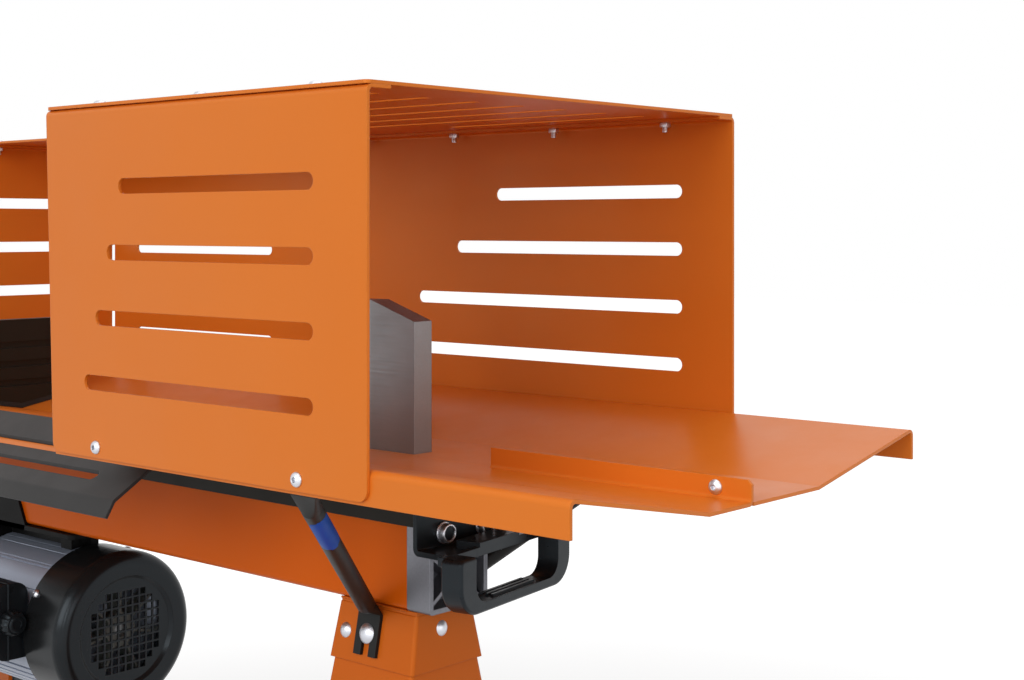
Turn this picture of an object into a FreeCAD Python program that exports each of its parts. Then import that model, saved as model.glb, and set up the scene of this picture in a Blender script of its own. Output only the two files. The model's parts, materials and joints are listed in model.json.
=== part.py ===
import FreeCAD, Part
import math
import os

Vector = FreeCAD.Vector

# Electric log splitter, in millimetres.
# X runs along the beam towards the outfeed tray, Y away from the operator, Z up.
# The origin is on the ground under the middle of the front leg.

# Levels and the overall layout
bed_height = 600.0
guard_end_x = 212.0
cut_overrun = 2.0
seat_gap = 0.3
hole_clearance = 0.4

# Box beam that carries everything
beam_length = 1270.0
beam_width = 80.0
beam_height = 129.0
beam_wall = 5.0
beam_corner = 6.0
beam_drop = 14.0

# Cast cap on the beam's outfeed end
end_cap_depth = 30.0
end_cap_wall = 5.0
end_cap_rib = 4.0
end_cap_corner = 4.0

# Cross bracket under the tray, screwed to the end cap
bracket_sheet = 5.0
bracket_half_span = 62.0
bracket_drop = 83.0
bracket_reach = 43.0
bracket_bend = 1.8
bracket_bolt_y = 27.0
bracket_bolt_drop = 66.0
bracket_bolt_radius = 5.0
bracket_bolt_grip = 22.0
bracket_washer_radius = 10.2
bracket_washer_thickness = 2.0
bracket_bolt_head_radius = 8.4
bracket_bolt_head_height = 7.0

# Carrying handle: a moulded strap bent into a D, turned slightly in plan
handle_turn_deg = 9.0
handle_half_width = 95.0
handle_depth = 23.0
handle_back = 44.0
handle_top_drop = 74.0
handle_bottom_drop = 126.0
handle_bar = 23.5
handle_grip_bar = 9.5
handle_bridge_height = 8.0
handle_bridge_lap = 2.0
handle_outer_corner = 28.0
handle_inner_corner = 17.0
handle_top_corner = 5.0
handle_edge_round = 3.0
handle_foot_thickness = 8.0
handle_foot_half = 34.0
handle_rib_height = 2.0
handle_rib_width = 3.0
handle_rib_pitch = 6.0
handle_rib_count = 3
handle_screw_spacing = 40.0
handle_screw_inset = 8.0

# Angle rails along both sides of the beam
rail_leg = 48.0
rail_flange = 24.0
rail_sheet = 4.0

# Folded sheet work
sheet = 3.0
sheet_bend = 3.0

# Outfeed tray
tray_length = 628.0
tray_overhang = 198.0
tray_floor_half = 82.0
tray_rise = 33.0
tray_flange = 29.0
tray_split_y = -23.0
tray_lip_height = 18.0
tray_lip_length = 279.0
tray_lip_corner = 6.0
tray_flange_corner = 6.0
tray_seam_gap = 0.3

# Splitting wedge and its base plate
wedge_base_length = 250.0
wedge_base_end_gap = 8.0
wedge_edge_setback = 330.0
wedge_length = 140.0
wedge_taper = 80.0
wedge_thickness = 24.0
wedge_edge_width = 1.5
wedge_height = 150.0
wedge_top_slope = 20.0
wedge_slot_gap = 0.5
wedge_screw_radius = 5.0
wedge_screw_head = 9.5
wedge_screw_sink = 5.0
wedge_screw_y = 28.0
wedge_screw_spacing = 75.0
wedge_screw_count = 3

# Shallow V trough of the loading zone
trough_slope_share = 0.175
trough_crest_y = 149.0
trough_near_fall = 40.0
trough_far_flange = 22.0
trough_notch_half = 46.0

# Dark apron on the operator's side
apron_fall_share = 0.6145
apron_crease_y = 232.0
apron_lip_y = 241.0
apron_lip_drop = 15.0
apron_end_setback = 366.0
apron_length = 694.0
apron_slot_width = 11.0
apron_slot_length = 215.0
apron_slot_pitch = 262.0
apron_slot_count = 2
apron_slot_first = 60.0
apron_slot_shift = 64.0
apron_slot_rows_y = (185.0, 209.0)
apron_trim = 9.0

# Guard panels
guard_length = 442.0
guard_lean = 12.0
guard_half_width = 255.0
guard_rise = 330.0
guard_foot_gap = 7.0
guard_corner = 10.0
guard_flange = 26.0
guard_far_length = 530.0
guard_far_total = 1065.0
guard_strip_half = 40.0
guard_joint_gap = 1.0
guard_far_foot = 36.0

# Slots of the side panels
slot_height = 14.0
slot_rows = 4
slot_pitch = 60.0
slot_top_inset = 74.0
slot_end_inset = 62.0
near_slot_length = 263.0
near_slot_step = 17.7
far_slot_length = 259.0
far_slot_step = 62.0
left_slot_length = 296.0
left_slot_inset = 183.0
left_slot_drop = 7.0

# Slots of the top plate and of the strip behind it
top_slot_width = 12.0
top_slot_pitch = 61.7
top_slot_rows = 7
top_slot_outer_length = 266.0
top_slot_inner_length = 349.0
strip_slot_length = 240.0
strip_slot_pitch = 290.0
strip_slot_count = 2
strip_slot_start = 500.0

# End wall behind the pusher
end_wall_setback = 1074.0
end_wall_near_y = 148.0
end_wall_slot_far = 62.0
end_wall_slot_inset = 28.0
end_wall_arch_radius = 54.0
end_wall_foot_drop = 58.0
end_wall_tab_width = 34.0
end_wall_slot_rows = 3
end_wall_slot_drop = 5.0
cleat_leg = 28.0
cleat_height = 34.0
cleat_reach = 38.0

# Guard bolts, nuts and all pan head screws
guard_bolt_radius = 3.0
guard_bolt_head_radius = 6.3
guard_bolt_head_height = 4.0
guard_bolt_pitch = 150.0
guard_bolt_first = 75.0
guard_bolt_inset = 15.0
guard_nut_radius = 5.8
guard_nut_height = 5.0
guard_bolt_stub = 9.0
screw_radius = 3.0
screw_head_radius = 6.3
screw_head_height = 4.0
screw_stub = 4.0
foot_screw_setbacks = (81.0, 359.0)
foot_screw_rise = 17.0
lip_screw_setback = 34.0
lip_screw_rise = 9.0
apron_screw_setbacks = (470.0, 740.0, 1010.0)
apron_screw_y = 164.0

# Front leg: a folded bracket with the lower leg inside it
leg_sheet = 3.0
leg_half_x = 51.5
leg_half_y = 38.0
leg_flare_x_share = 0.08
leg_flare_y_share = 0.20
leg_bracket_height = 57.0
leg_overlap = 40.0
leg_corner = 4.0
leg_top_plate = 4.0
foot_plate_half_x = 108.0
foot_plate_half_y = 152.0
foot_plate_thickness = 6.0
foot_plate_corner = 14.0
foot_hole_radius = 5.5
foot_hole_x = 94.0
foot_hole_y = 138.0
leg_bolt_radius = 4.0
leg_bolt_head_radius = 7.5
leg_bolt_head_height = 3.6
leg_bolt_stub = 12.0
leg_side_bolt_x = -40.0
leg_side_bolt_drop = 30.0
leg_end_bolt_y = -6.0
leg_end_bolt_drop = 20.0
strut_bolt_x = -7.0
strut_bolt_drop = 28.0
strut_bolt_radius = 4.0
strut_bolt_head_radius = 9.8
strut_bolt_head_height = 4.6

# Tube struts from the leg up to the tray's side flanges
strut_radius = 9.0
strut_wall = 1.5
strut_flat_thickness = 4.0
strut_flat_width = 30.0
strut_tab_rise = 19.0
strut_tab_fall = 21.0
strut_slot_width = 10.5
strut_top_setback = 81.0
strut_top_tab = 23.0
strut_taper = 26.0

# Rear legs, axle and wheels
axle_setback = 1240.0
axle_radius = 8.0
axle_end_gap = 0.5
axle_head_radius = 13.0
axle_head_length = 4.0
wheel_radius = 100.0
wheel_width = 36.0
wheel_y = 214.0
wheel_bore_gap = 0.05
rim_radius = 68.0
rim_hub_radius = 20.0
rim_hub_half_length = 24.0
rim_web_half = 5.0
rim_band = 6.0
rim_hole_radius = 12.0
rim_hole_circle = 42.0
rim_hole_count = 5
tyre_shoulder = 10.0
rear_leg_width = 44.0
rear_leg_sheet = 6.0
rear_leg_bend = 8.0
rear_leg_top_rise = 60.0
rear_leg_foot_y = 172.0
rear_leg_foot_height = 60.0
rear_leg_eye = 20.0
cross_tie_height = 300.0
cross_tie_depth = 26.0
cross_tie_sheet = 5.0

# Hydraulic cylinder on the beam
stroke = 390.0
bore_radius = 30.0
cylinder_wall = 6.0
cylinder_rise = 46.0
piston_length = 25.0
piston_rear_gap = 2.0
rod_radius = 14.0
running_gap = 0.05
head_length = 30.0
head_half = 42.0
head_corner = 6.0
tie_rod_radius = 5.0
tie_rod_offset = 33.0
tie_rod_stub = 12.0
tie_nut_radius = 8.5
tie_nut_height = 7.0
tie_nut_setback = 1.0

# Pusher
pusher_face_setback = 900.0
pusher_plate = 16.0
pusher_length = 33.0
pusher_half_width = 72.0
pusher_top = 102.0
pusher_corner = 8.0
pusher_groove_depth = 4.0
pusher_groove_height = 8.0
pusher_groove_pitch = 24.0
pusher_groove_count = 3
pusher_rib = 8.0
pusher_rib_count = 4
pusher_hub_radius = 24.0
pusher_shoe_thickness = 6.0
pusher_run_gap = 0.4

# Motor under the beam
motor_axis_drop = 255.0
cover_front_setback = 674.0
cover_radius = 92.5
cover_length = 73.0
cover_wall = 2.5
cover_round = 15.0
cover_recess_radius = 61.0
cover_recess_depth = 4.0
grille_pitch = 9.6
grille_hole = 7.4
grille_radius = 56.0
cover_vent_width = 13.0
cover_vent_height = 50.0
cover_vent_setback = 38.0
body_core_radius = 84.5
body_fin_radius = 88.0
body_fin_count = 54
body_fin_width = 7.0
body_bore_radius = 66.0
body_band_start_deg = 28.0
body_band_end_deg = 118.0
body_length = 209.0
shield_radius = 88.0
shield_length = 12.0
shaft_radius = 9.0
shaft_front_gap = 28.0
rotor_radius = 46.0
rotor_length = 110.0
rotor_rear_gap = 40.0
fan_hub_radius = 20.0
fan_hub_length = 20.0
fan_tip_radius = 78.0
fan_blade_count = 7
fan_blade_thickness = 3.0
fan_blade_length = 26.0
fan_front_gap = 14.0

# Motor mount that grips the beam
mount_front_setback = 697.0
mount_side_setback = 123.0
mount_plate = 6.0
mount_side = 4.0
mount_side_rise = 42.0
mount_slant = 25.0
mount_saddle_width = 22.0
mount_saddle_half = 44.0
mount_saddle_inset = 14.0

# Capacitor box on the motor's side
capacitor_setback = 752.0
capacitor_length = 105.0
capacitor_height = 88.0
capacitor_depth = 44.0
capacitor_corner = 16.0
capacitor_rise = 18.0
capacitor_inner_y = 83.0
capacitor_web = 44.0
gland_radius = 12.0
gland_nut_radius = 14.0
gland_length = 16.0
gland_nut_length = 6.0
gland_inset = 20.0

# Pump and valve block behind the motor
pump_length = 86.0
pump_half_y = 62.0
pump_half_z = 72.0
pump_corner = 12.0
pump_flange_length = 14.0
pump_post_half = 26.0

# Oil tank
tank_length = 160.0
tank_half_y = 74.0
tank_drop = 170.0
tank_corner = 14.0
tank_rib_count = 6
tank_rib_pitch = 26.0
tank_rib_depth = 4.0
tank_rib_width = 6.0
tank_wall = 8.0
plug_radius = 10.0
plug_neck_radius = 7.0
plug_height = 12.0
plug_neck = 10.0
plug_spread = 90.0

# Valve block beside the beam, its spool, lever and knob
valve_setback = 1092.0
valve_length = 60.0
valve_depth = 40.0
valve_height = 70.0
valve_rise = 13.0
valve_corner = 6.0
spool_radius = 7.0
spool_rise = 42.0
spool_inset = 20.0
spool_depth = 50.0
spool_end = 12.0
lever_arm = 32.0
lever_offset = 15.0
lever_post_thickness = 10.0
lever_post_half = 12.0
lever_thickness = 8.0
lever_gap = 0.4
lever_foot_half = 9.0
lever_top_half = 6.0
lever_height = 228.0
lever_foot_height = 52.0
lever_tang = 24.0
lever_pin_radius = 5.0
lever_pin_head_radius = 9.0
lever_pin_head_height = 4.0
spool_pin_radius = 3.0
spool_pin_gap = 0.3
spool_pin_slack = 1.2
spool_pin_proud = 1.5
knob_radius = 17.0

# Pipes from the pump to the valve block and on to the cylinder and the tank
pipe_radius = 6.0
pipe_bore = 4.0
pipe_bend = 15.0
pipe_nut_radius = 10.0
pipe_nut_length = 9.0
supply_pipe_y = 51.0
supply_pipe_inset = 32.0
supply_pipe_rise = 20.0
pressure_pipe_inset = 30.0
return_pipe_inset = 35.0

# Switch box, buttons and power inlet
switch_setback = 1104.0
switch_length = 88.0
switch_depth = 52.0
switch_height = 112.0
switch_corner = 10.0
switch_drop = 15.0
button_radius = 11.0
button_length = 14.0
button_proud = 5.0
button_travel = 3.0
button_spacing = 36.0
button_rise = 18.0
button_gap = 0.3
button_collar_radius = 15.0
button_collar_depth = 3.0
inlet_radius = 22.0
inlet_length = 34.0
inlet_wall = 3.0
inlet_pin_radius = 2.4
inlet_pin_length = 22.0
inlet_pin_circle = 9.0
inlet_pin_count = 3

# Places worked out from the sizes above
beam_top = bed_height - beam_drop
beam_bottom = beam_top - beam_height
beam_half = beam_width / 2
tray_half_width = guard_half_width - sheet
tray_end_x = guard_end_x + tray_overhang
tray_start_x = tray_end_x - tray_length
beam_end_x = tray_start_x + wedge_base_length + wedge_base_end_gap
beam_rear_x = beam_end_x - beam_length
cap_face_x = beam_end_x + end_cap_depth
tray_under = bed_height - sheet
flange_face_y = tray_half_width
guard_top_z = bed_height + guard_rise
pusher_face_x = guard_end_x - pusher_face_setback
pusher_rear_x = pusher_face_x - pusher_plate - pusher_length
cylinder_z = bed_height + cylinder_rise
head_front_x = pusher_rear_x - tie_nut_height - seat_gap
tube_front_x = head_front_x - head_length
chamber_length = stroke + piston_length + piston_rear_gap
tube_rear_x = tube_front_x - chamber_length
cap_rear_x = tube_rear_x - head_length
piston_rear_x = tube_rear_x + piston_rear_gap
motor_z = bed_height - motor_axis_drop
cover_front_x = guard_end_x - cover_front_setback
cover_rear_x = cover_front_x - cover_length
body_rear_x = cover_rear_x + shield_length - body_length
pump_front_x = body_rear_x - pump_flange_length
pump_rear_x = pump_front_x - pump_length
tank_front_x = pump_rear_x
tank_rear_x = tank_front_x - tank_length
tank_top_z = beam_bottom
axle_x = guard_end_x - axle_setback
end_wall_x = guard_end_x - end_wall_setback
deck_start_x = end_wall_x + sheet + seat_gap
trough_far_y = guard_half_width - sheet
valve_front_x = guard_end_x - valve_setback
valve_rear_x = valve_front_x - valve_length
valve_low_z = beam_bottom + valve_rise
valve_face_y = -beam_half - valve_depth
spool_y = -beam_half - spool_inset
spool_axis_z = valve_low_z + spool_rise
pivot_x = valve_rear_x - lever_offset
pivot_z = spool_axis_z - lever_arm
lever_back_y = valve_face_y - lever_gap
lever_front_y = lever_back_y - lever_thickness
lever_top_z = pivot_z + lever_height
switch_x = guard_end_x - switch_setback
switch_face_y = -tank_half_y - switch_depth
switch_top_z = beam_bottom - switch_drop
mount_front_x = guard_end_x - mount_front_setback
fin_seat_radius = math.hypot(body_fin_radius, body_fin_width / 2) + running_gap


# Outlines and simple solids

def plane_xz(y):
    return lambda u, v: Vector(u, y, v)


def plane_yz(x):
    return lambda u, v: Vector(x, u, v)


def plane_xy(z):
    return lambda u, v: Vector(u, v, z)


def unit(u, v):
    size = math.hypot(u, v)
    return u / size, v / size


def closed_wire(points, radii, place):
    """A closed outline whose corners are rounded by the given radii."""
    tiny = 1e-6
    corners = []
    count = len(points)
    for index, (u, v) in enumerate(points):
        radius = radii[index]
        before = points[index - 1]
        after = points[(index + 1) % count]
        if radius <= tiny:
            corners.append(((u, v), None, (u, v)))
            continue
        a = unit(before[0] - u, before[1] - v)
        b = unit(after[0] - u, after[1] - v)
        cosine = max(-1.0, min(1.0, a[0] * b[0] + a[1] * b[1]))
        half = math.acos(cosine) / 2
        back = radius / math.tan(half)
        middle = unit(a[0] + b[0], a[1] + b[1])
        inset = radius / math.sin(half) - radius
        start = (u + a[0] * back, v + a[1] * back)
        crown = (u + middle[0] * inset, v + middle[1] * inset)
        finish = (u + b[0] * back, v + b[1] * back)
        corners.append((start, crown, finish))
    edges = []
    for index, (start, crown, finish) in enumerate(corners):
        if crown is not None:
            edges.append(Part.Arc(place(*start), place(*crown), place(*finish)).toShape())
        onward = corners[(index + 1) % count][0]
        if math.hypot(onward[0] - finish[0], onward[1] - finish[1]) > tiny:
            edges.append(Part.LineSegment(place(*finish), place(*onward)).toShape())
    return Part.Wire(edges)


def profile(points, place, run, radii=None):
    """The outline's face, swept along run into a solid."""
    rounds = radii if radii is not None else [0] * len(points)
    return Part.Face(closed_wire(points, rounds, place)).extrude(run)


def rectangle(u0, u1, v0, v1):
    return [(u0, v0), (u1, v0), (u1, v1), (u0, v1)]


def rounded_block(x0, x1, y0, y1, z0, z1, corner):
    """A block along X with its four long edges rounded."""
    return profile(rectangle(y0, y1, z0, z1), plane_yz(x0), Vector(x1 - x0, 0, 0), [corner] * 4)


def block(x0, x1, y0, y1, z0, z1):
    return Part.makeBox(x1 - x0, y1 - y0, z1 - z0, Vector(x0, y0, z0))


def rod(start, direction, radius, length):
    return Part.makeCylinder(radius, length, start, direction)


def slot(u0, u1, v, width, place, run):
    """A long hole with round ends, from u0 to u1 on the line v."""
    return profile(rectangle(u0, u1, v - width / 2, v + width / 2), place, run, [width / 2] * 4)


def bent_sheet(points, thickness, inner_radius, place, run, side):
    """A folded sheet whose one face follows points; side 1 or -1 puts the metal to its left or right."""
    count = len(points)
    normals = []
    for index in range(count - 1):
        du, dv = unit(points[index + 1][0] - points[index][0], points[index + 1][1] - points[index][1])
        normals.append((-dv * side, du * side))
    other = []
    base_radii = []
    other_radii = []
    for index, (u, v) in enumerate(points):
        first = normals[max(index - 1, 0)]
        second = normals[min(index, count - 2)]
        du, dv = unit(first[0] + second[0], first[1] + second[1])
        reach = thickness / (du * first[0] + dv * first[1])
        other.append((u + du * reach, v + dv * reach))
        turn = (first[0] * second[1] - first[1] * second[0]) * side
        if index in (0, count - 1):
            base_radii.append(0)
            other_radii.append(0)
        elif turn > 0:
            base_radii.append(inner_radius + thickness)
            other_radii.append(inner_radius)
        else:
            base_radii.append(inner_radius)
            other_radii.append(inner_radius + thickness)
    return profile(points + other[::-1], place, run, base_radii + other_radii[::-1])


def along(shape, position, direction):
    """Stands a shape made along +Z at a place, along a direction."""
    turned = shape.copy()
    turned.Placement = FreeCAD.Placement(position, FreeCAD.Rotation(Vector(0, 0, 1), direction))
    return turned


def mirrored(shape):
    return shape.mirror(Vector(0, 0, 0), Vector(0, 1, 0))


def group(shapes):
    return Part.makeCompound(shapes)


# Fasteners, each made along +Z with its seat at zero

def pan_screw(head_radius, head_height, shank_radius, shank_length):
    head = Part.makeCylinder(head_radius, head_height)
    head = head.makeFillet(head_height * 0.6, [edge for edge in head.Edges if edge.BoundBox.ZMin > head_height / 2])
    shank = rod(Vector(0, 0, 0), Vector(0, 0, -1), shank_radius, shank_length)
    return head.fuse(shank).removeSplitter()


def cup_bolt(head_radius, head_height, shank_radius, shank_length):
    top = Vector(0, 0, head_height)
    rim = Vector(head_radius, 0, 0)
    ball = (head_radius ** 2 + head_height ** 2) / (2 * head_height)
    angle = math.asin(head_radius / ball) / 2
    crown = Vector(ball * math.sin(angle), 0, ball * math.cos(angle) - (ball - head_height))
    edges = [Part.Arc(top, crown, rim).toShape(), Part.LineSegment(rim, Vector(0, 0, 0)).toShape(),
             Part.LineSegment(Vector(0, 0, 0), top).toShape()]
    head = Part.Face(Part.Wire(edges)).revolve(Vector(0, 0, 0), Vector(0, 0, 1), 360)
    shank = rod(Vector(0, 0, 0), Vector(0, 0, -1), shank_radius, shank_length)
    return head.fuse(shank)


def hexagon(radius, height, bore):
    points = [(radius * math.cos(math.radians(60 * k)), radius * math.sin(math.radians(60 * k))) for k in range(6)]
    nut = profile(points, plane_xy(0), Vector(0, 0, height))
    if bore > 0:
        nut = nut.cut(rod(Vector(0, 0, 0), Vector(0, 0, 1), bore, height))
    return nut


def plain_hole(position, direction, radius, depth):
    """A cutter centred on a sheet, reaching depth to both sides."""
    start = position - direction * depth
    return rod(start, direction, radius, 2 * depth)


# Beam, end cap, cross bracket and handle

def make_beam():
    outer = rounded_block(beam_rear_x, beam_end_x, -beam_half, beam_half, beam_bottom, beam_top, beam_corner)
    inner_half = beam_half - beam_wall
    inner = rounded_block(beam_rear_x - cut_overrun, beam_end_x + cut_overrun, -inner_half, inner_half,
                          beam_bottom + beam_wall, beam_top - beam_wall, beam_corner - beam_wall / 2)
    return outer.cut(inner)


def bracket_bolt_places():
    return [Vector(cap_face_x + bracket_sheet, y, bed_height - bracket_bolt_drop)
            for y in (-bracket_bolt_y, bracket_bolt_y)]


def make_end_cap():
    cap = rounded_block(beam_end_x, cap_face_x, -beam_half, beam_half, beam_bottom, beam_top, end_cap_corner)
    pocket_top = bed_height - bracket_drop - end_cap_wall
    pocket_low = beam_bottom + end_cap_wall
    pocket_half = beam_half - end_cap_wall
    pocket = block(beam_end_x + end_cap_wall, cap_face_x + cut_overrun, -pocket_half, pocket_half,
                   pocket_low, pocket_top)
    cap = cap.cut(pocket)
    pocket_height = pocket_top - pocket_low
    rib_rise = end_cap_rib / math.cos(math.atan2(pocket_height, 2 * pocket_half)) / 2
    ribs = []
    for lean in (1, -1):
        points = [(-pocket_half, pocket_low - rib_rise), (pocket_half, pocket_top - rib_rise),
                  (pocket_half, pocket_top + rib_rise), (-pocket_half, pocket_low + rib_rise)]
        if lean < 0:
            points = [(-u, v) for u, v in reversed(points)]
        bar = profile(points, plane_yz(beam_end_x + end_cap_wall),
                      Vector(end_cap_depth - 2 * end_cap_wall, 0, 0))
        ribs.append(bar.common(pocket))
    cap = cap.fuse(ribs).removeSplitter()
    for place in bracket_bolt_places():
        cap = cap.cut(plain_hole(place, Vector(1, 0, 0), bracket_bolt_radius + hole_clearance / 2, bracket_bolt_grip))
    return cap


def make_cross_bracket():
    low = bed_height - bracket_drop
    points = [(cap_face_x, tray_under), (cap_face_x, low), (cap_face_x + bracket_sheet + bracket_reach, low)]
    angle = bent_sheet(points, bracket_sheet, bracket_bend, plane_xz(-bracket_half_span),
                       Vector(0, 2 * bracket_half_span, 0), 1)
    trim = 2 * bracket_half_span * math.tan(math.radians(handle_turn_deg))
    front = cap_face_x + bracket_sheet + bracket_reach
    corner = [(front, -bracket_half_span), (front + cut_overrun, -bracket_half_span - cut_overrun),
              (front + cut_overrun, bracket_half_span + cut_overrun), (front - trim, bracket_half_span + cut_overrun),
              (front - trim, bracket_half_span)]
    angle = angle.cut(profile(corner, plane_xy(low - cut_overrun), Vector(0, 0, bracket_sheet + 2 * cut_overrun)))
    for place in bracket_bolt_places():
        angle = angle.cut(plain_hole(place, Vector(1, 0, 0), bracket_bolt_radius + hole_clearance / 2,
                                     bracket_sheet + cut_overrun))
    for place in handle_screw_places():
        angle = angle.cut(plain_hole(place, Vector(0, 0, 1), screw_radius + hole_clearance, bracket_sheet * 2))
    return angle


def make_bracket_bolts():
    washer = rod(Vector(0, 0, 0), Vector(0, 0, 1), bracket_washer_radius, bracket_washer_thickness)
    washer = washer.cut(rod(Vector(0, 0, 0), Vector(0, 0, 1), bracket_bolt_radius + hole_clearance,
                            bracket_washer_thickness))
    head = rod(Vector(0, 0, 0), Vector(0, 0, 1), bracket_bolt_head_radius, bracket_bolt_head_height)
    head = head.makeFillet(bracket_washer_thickness,
                           [edge for edge in head.Edges if edge.BoundBox.ZMin > bracket_bolt_head_height / 2])
    shank = rod(Vector(0, 0, 0), Vector(0, 0, -1), bracket_bolt_radius, bracket_bolt_grip)
    bolt = head.fuse(shank)
    solids = []
    for place in bracket_bolt_places():
        solids.append(along(washer, place, Vector(1, 0, 0)))
        solids.append(along(bolt, place + Vector(bracket_washer_thickness, 0, 0), Vector(1, 0, 0)))
    for place in handle_screw_places():
        solids.append(along(pan_screw(screw_head_radius, screw_head_height, screw_radius, bracket_sheet),
                            place, Vector(0, 0, -1)))
    return group(solids)


def turned_in_plan(shape):
    """Turns the handle about the upright line through the middle of the end cap's face."""
    turned = shape.copy()
    turned.rotate(Vector(cap_face_x, 0, 0), Vector(0, 0, 1), handle_turn_deg)
    return turned


def handle_screw_places():
    turn = math.radians(handle_turn_deg)
    reach = bracket_sheet + bracket_reach - handle_screw_inset - bracket_half_span * math.tan(turn)
    places = []
    for y in (-handle_screw_spacing / 2, handle_screw_spacing / 2):
        places.append(Vector(cap_face_x + reach * math.cos(turn) - y * math.sin(turn),
                             reach * math.sin(turn) + y * math.cos(turn), bed_height - bracket_drop))
    return places


def make_handle():
    """A strap bent into a U, a bridge behind its tops, and a foot that lies on the cross bracket."""
    back_x = cap_face_x + handle_back
    top = bed_height - handle_top_drop
    low = bed_height - handle_bottom_drop
    outer = profile(rectangle(-handle_half_width, handle_half_width, low, top), plane_yz(back_x),
                    Vector(handle_depth, 0, 0),
                    [handle_outer_corner, handle_outer_corner, handle_top_corner, handle_top_corner])
    outer = outer.makeFillet(handle_edge_round, [edge for edge in outer.Edges if is_long_rim(edge, back_x)])
    inner_half = handle_half_width - handle_bar
    inner = profile(rectangle(-inner_half, inner_half, low + handle_grip_bar, top + handle_inner_corner),
                    plane_yz(back_x - cut_overrun), Vector(handle_depth + 2 * cut_overrun, 0, 0),
                    [handle_inner_corner, handle_inner_corner, 0, 0])
    ring = outer.cut(inner)
    turn = math.radians(handle_turn_deg)
    clear = (bracket_sheet + bracket_washer_thickness + bracket_bolt_head_height
             + handle_foot_half * math.sin(turn))
    foot_back = cap_face_x + clear / math.cos(turn) + seat_gap
    shelf_edge = (bracket_sheet + bracket_reach) * math.cos(turn) - bracket_half_span * math.sin(turn)
    bridge_half = handle_half_width - handle_top_corner
    bridge_front = back_x + handle_bridge_lap
    bridge = block(cap_face_x + shelf_edge + seat_gap, bridge_front, -bridge_half, bridge_half,
                   top - handle_bridge_height, top)
    foot_low = bed_height - bracket_drop + bracket_sheet
    foot = block(foot_back, bridge_front, -handle_foot_half, handle_foot_half, foot_low,
                 foot_low + handle_foot_thickness)
    ribs = []
    for index in range(handle_rib_count):
        start = back_x + handle_depth / 2 + (index - handle_rib_count / 2) * handle_rib_pitch
        ribs.append(block(start, start + handle_rib_width, -inner_half / 2, inner_half / 2,
                          low + handle_grip_bar - handle_rib_height / 2, low + handle_grip_bar + handle_rib_height))
    handle = ring.fuse([bridge, foot] + ribs).removeSplitter()
    return turned_in_plan(handle)


def is_long_rim(edge, back_x):
    """True for the outline edges of the handle's front and back faces."""
    box = edge.BoundBox
    flat = box.XLength < handle_edge_round / 10
    return flat and (abs(box.XMin - back_x) < handle_edge_round or abs(box.XMin - back_x - handle_depth)
                     < handle_edge_round)


def make_side_rails():
    points = [(-beam_half - rail_sheet - rail_flange, beam_top), (-beam_half, beam_top),
              (-beam_half, beam_top - rail_leg)]
    near = bent_sheet(points, rail_sheet, rail_sheet / 2, plane_yz(deck_start_x),
                      Vector(cap_face_x - deck_start_x, 0, 0), -1)
    return group([near, mirrored(near)])


# Wedge

def make_wedge_base():
    plate = block(tray_start_x, tray_start_x + wedge_base_length, -beam_half, beam_half, beam_top, tray_under)
    for place in wedge_screw_places():
        plate = plate.cut(along(countersunk(wedge_screw_radius + hole_clearance, wedge_screw_head + hole_clearance,
                                            wedge_screw_sink, tray_under - beam_top), place, Vector(0, 0, 1)))
    return plate


def wedge_screw_places():
    first = guard_end_x - wedge_edge_setback - wedge_screw_spacing / 2
    return [Vector(first + index * wedge_screw_spacing, y, tray_under)
            for index in range(wedge_screw_count) for y in (-wedge_screw_y, wedge_screw_y)]


def countersunk(radius, head_radius, sink, length):
    """A countersunk screw's body, flush with zero and reaching down."""
    cone = Part.makeCone(radius, head_radius, sink, Vector(0, 0, -sink))
    return cone.fuse(rod(Vector(0, 0, 0), Vector(0, 0, -1), radius, length)).removeSplitter()


def make_wedge_screws():
    screw = countersunk(wedge_screw_radius, wedge_screw_head, wedge_screw_sink, tray_under - beam_top)
    return group([along(screw, place, Vector(0, 0, 1)) for place in wedge_screw_places()])


def make_wedge():
    edge_x = guard_end_x - wedge_edge_setback
    half = wedge_thickness / 2
    tip = wedge_edge_width / 2
    points = [(edge_x, -tip), (edge_x + wedge_taper, -half), (edge_x + wedge_length, -half),
              (edge_x + wedge_length, half), (edge_x + wedge_taper, half), (edge_x, tip)]
    blade = profile(points, plane_xy(tray_under), Vector(0, 0, wedge_height))
    top = tray_under + wedge_height
    slope = [(edge_x + wedge_taper, top), (edge_x + wedge_length + cut_overrun, top - wedge_top_slope),
             (edge_x + wedge_length + cut_overrun, top + cut_overrun), (edge_x + wedge_taper, top + cut_overrun)]
    return blade.cut(profile(slope, plane_xz(-wedge_thickness), Vector(0, 2 * wedge_thickness, 0)))


# Outfeed tray

def tray_side_points(sign):
    """Top face of one tray side, from the floor's edge out to the hanging flange."""
    return [(sign * tray_floor_half, bed_height), (sign * tray_half_width, bed_height + tray_rise),
            (sign * tray_half_width, bed_height + tray_rise - tray_flange)]


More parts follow.
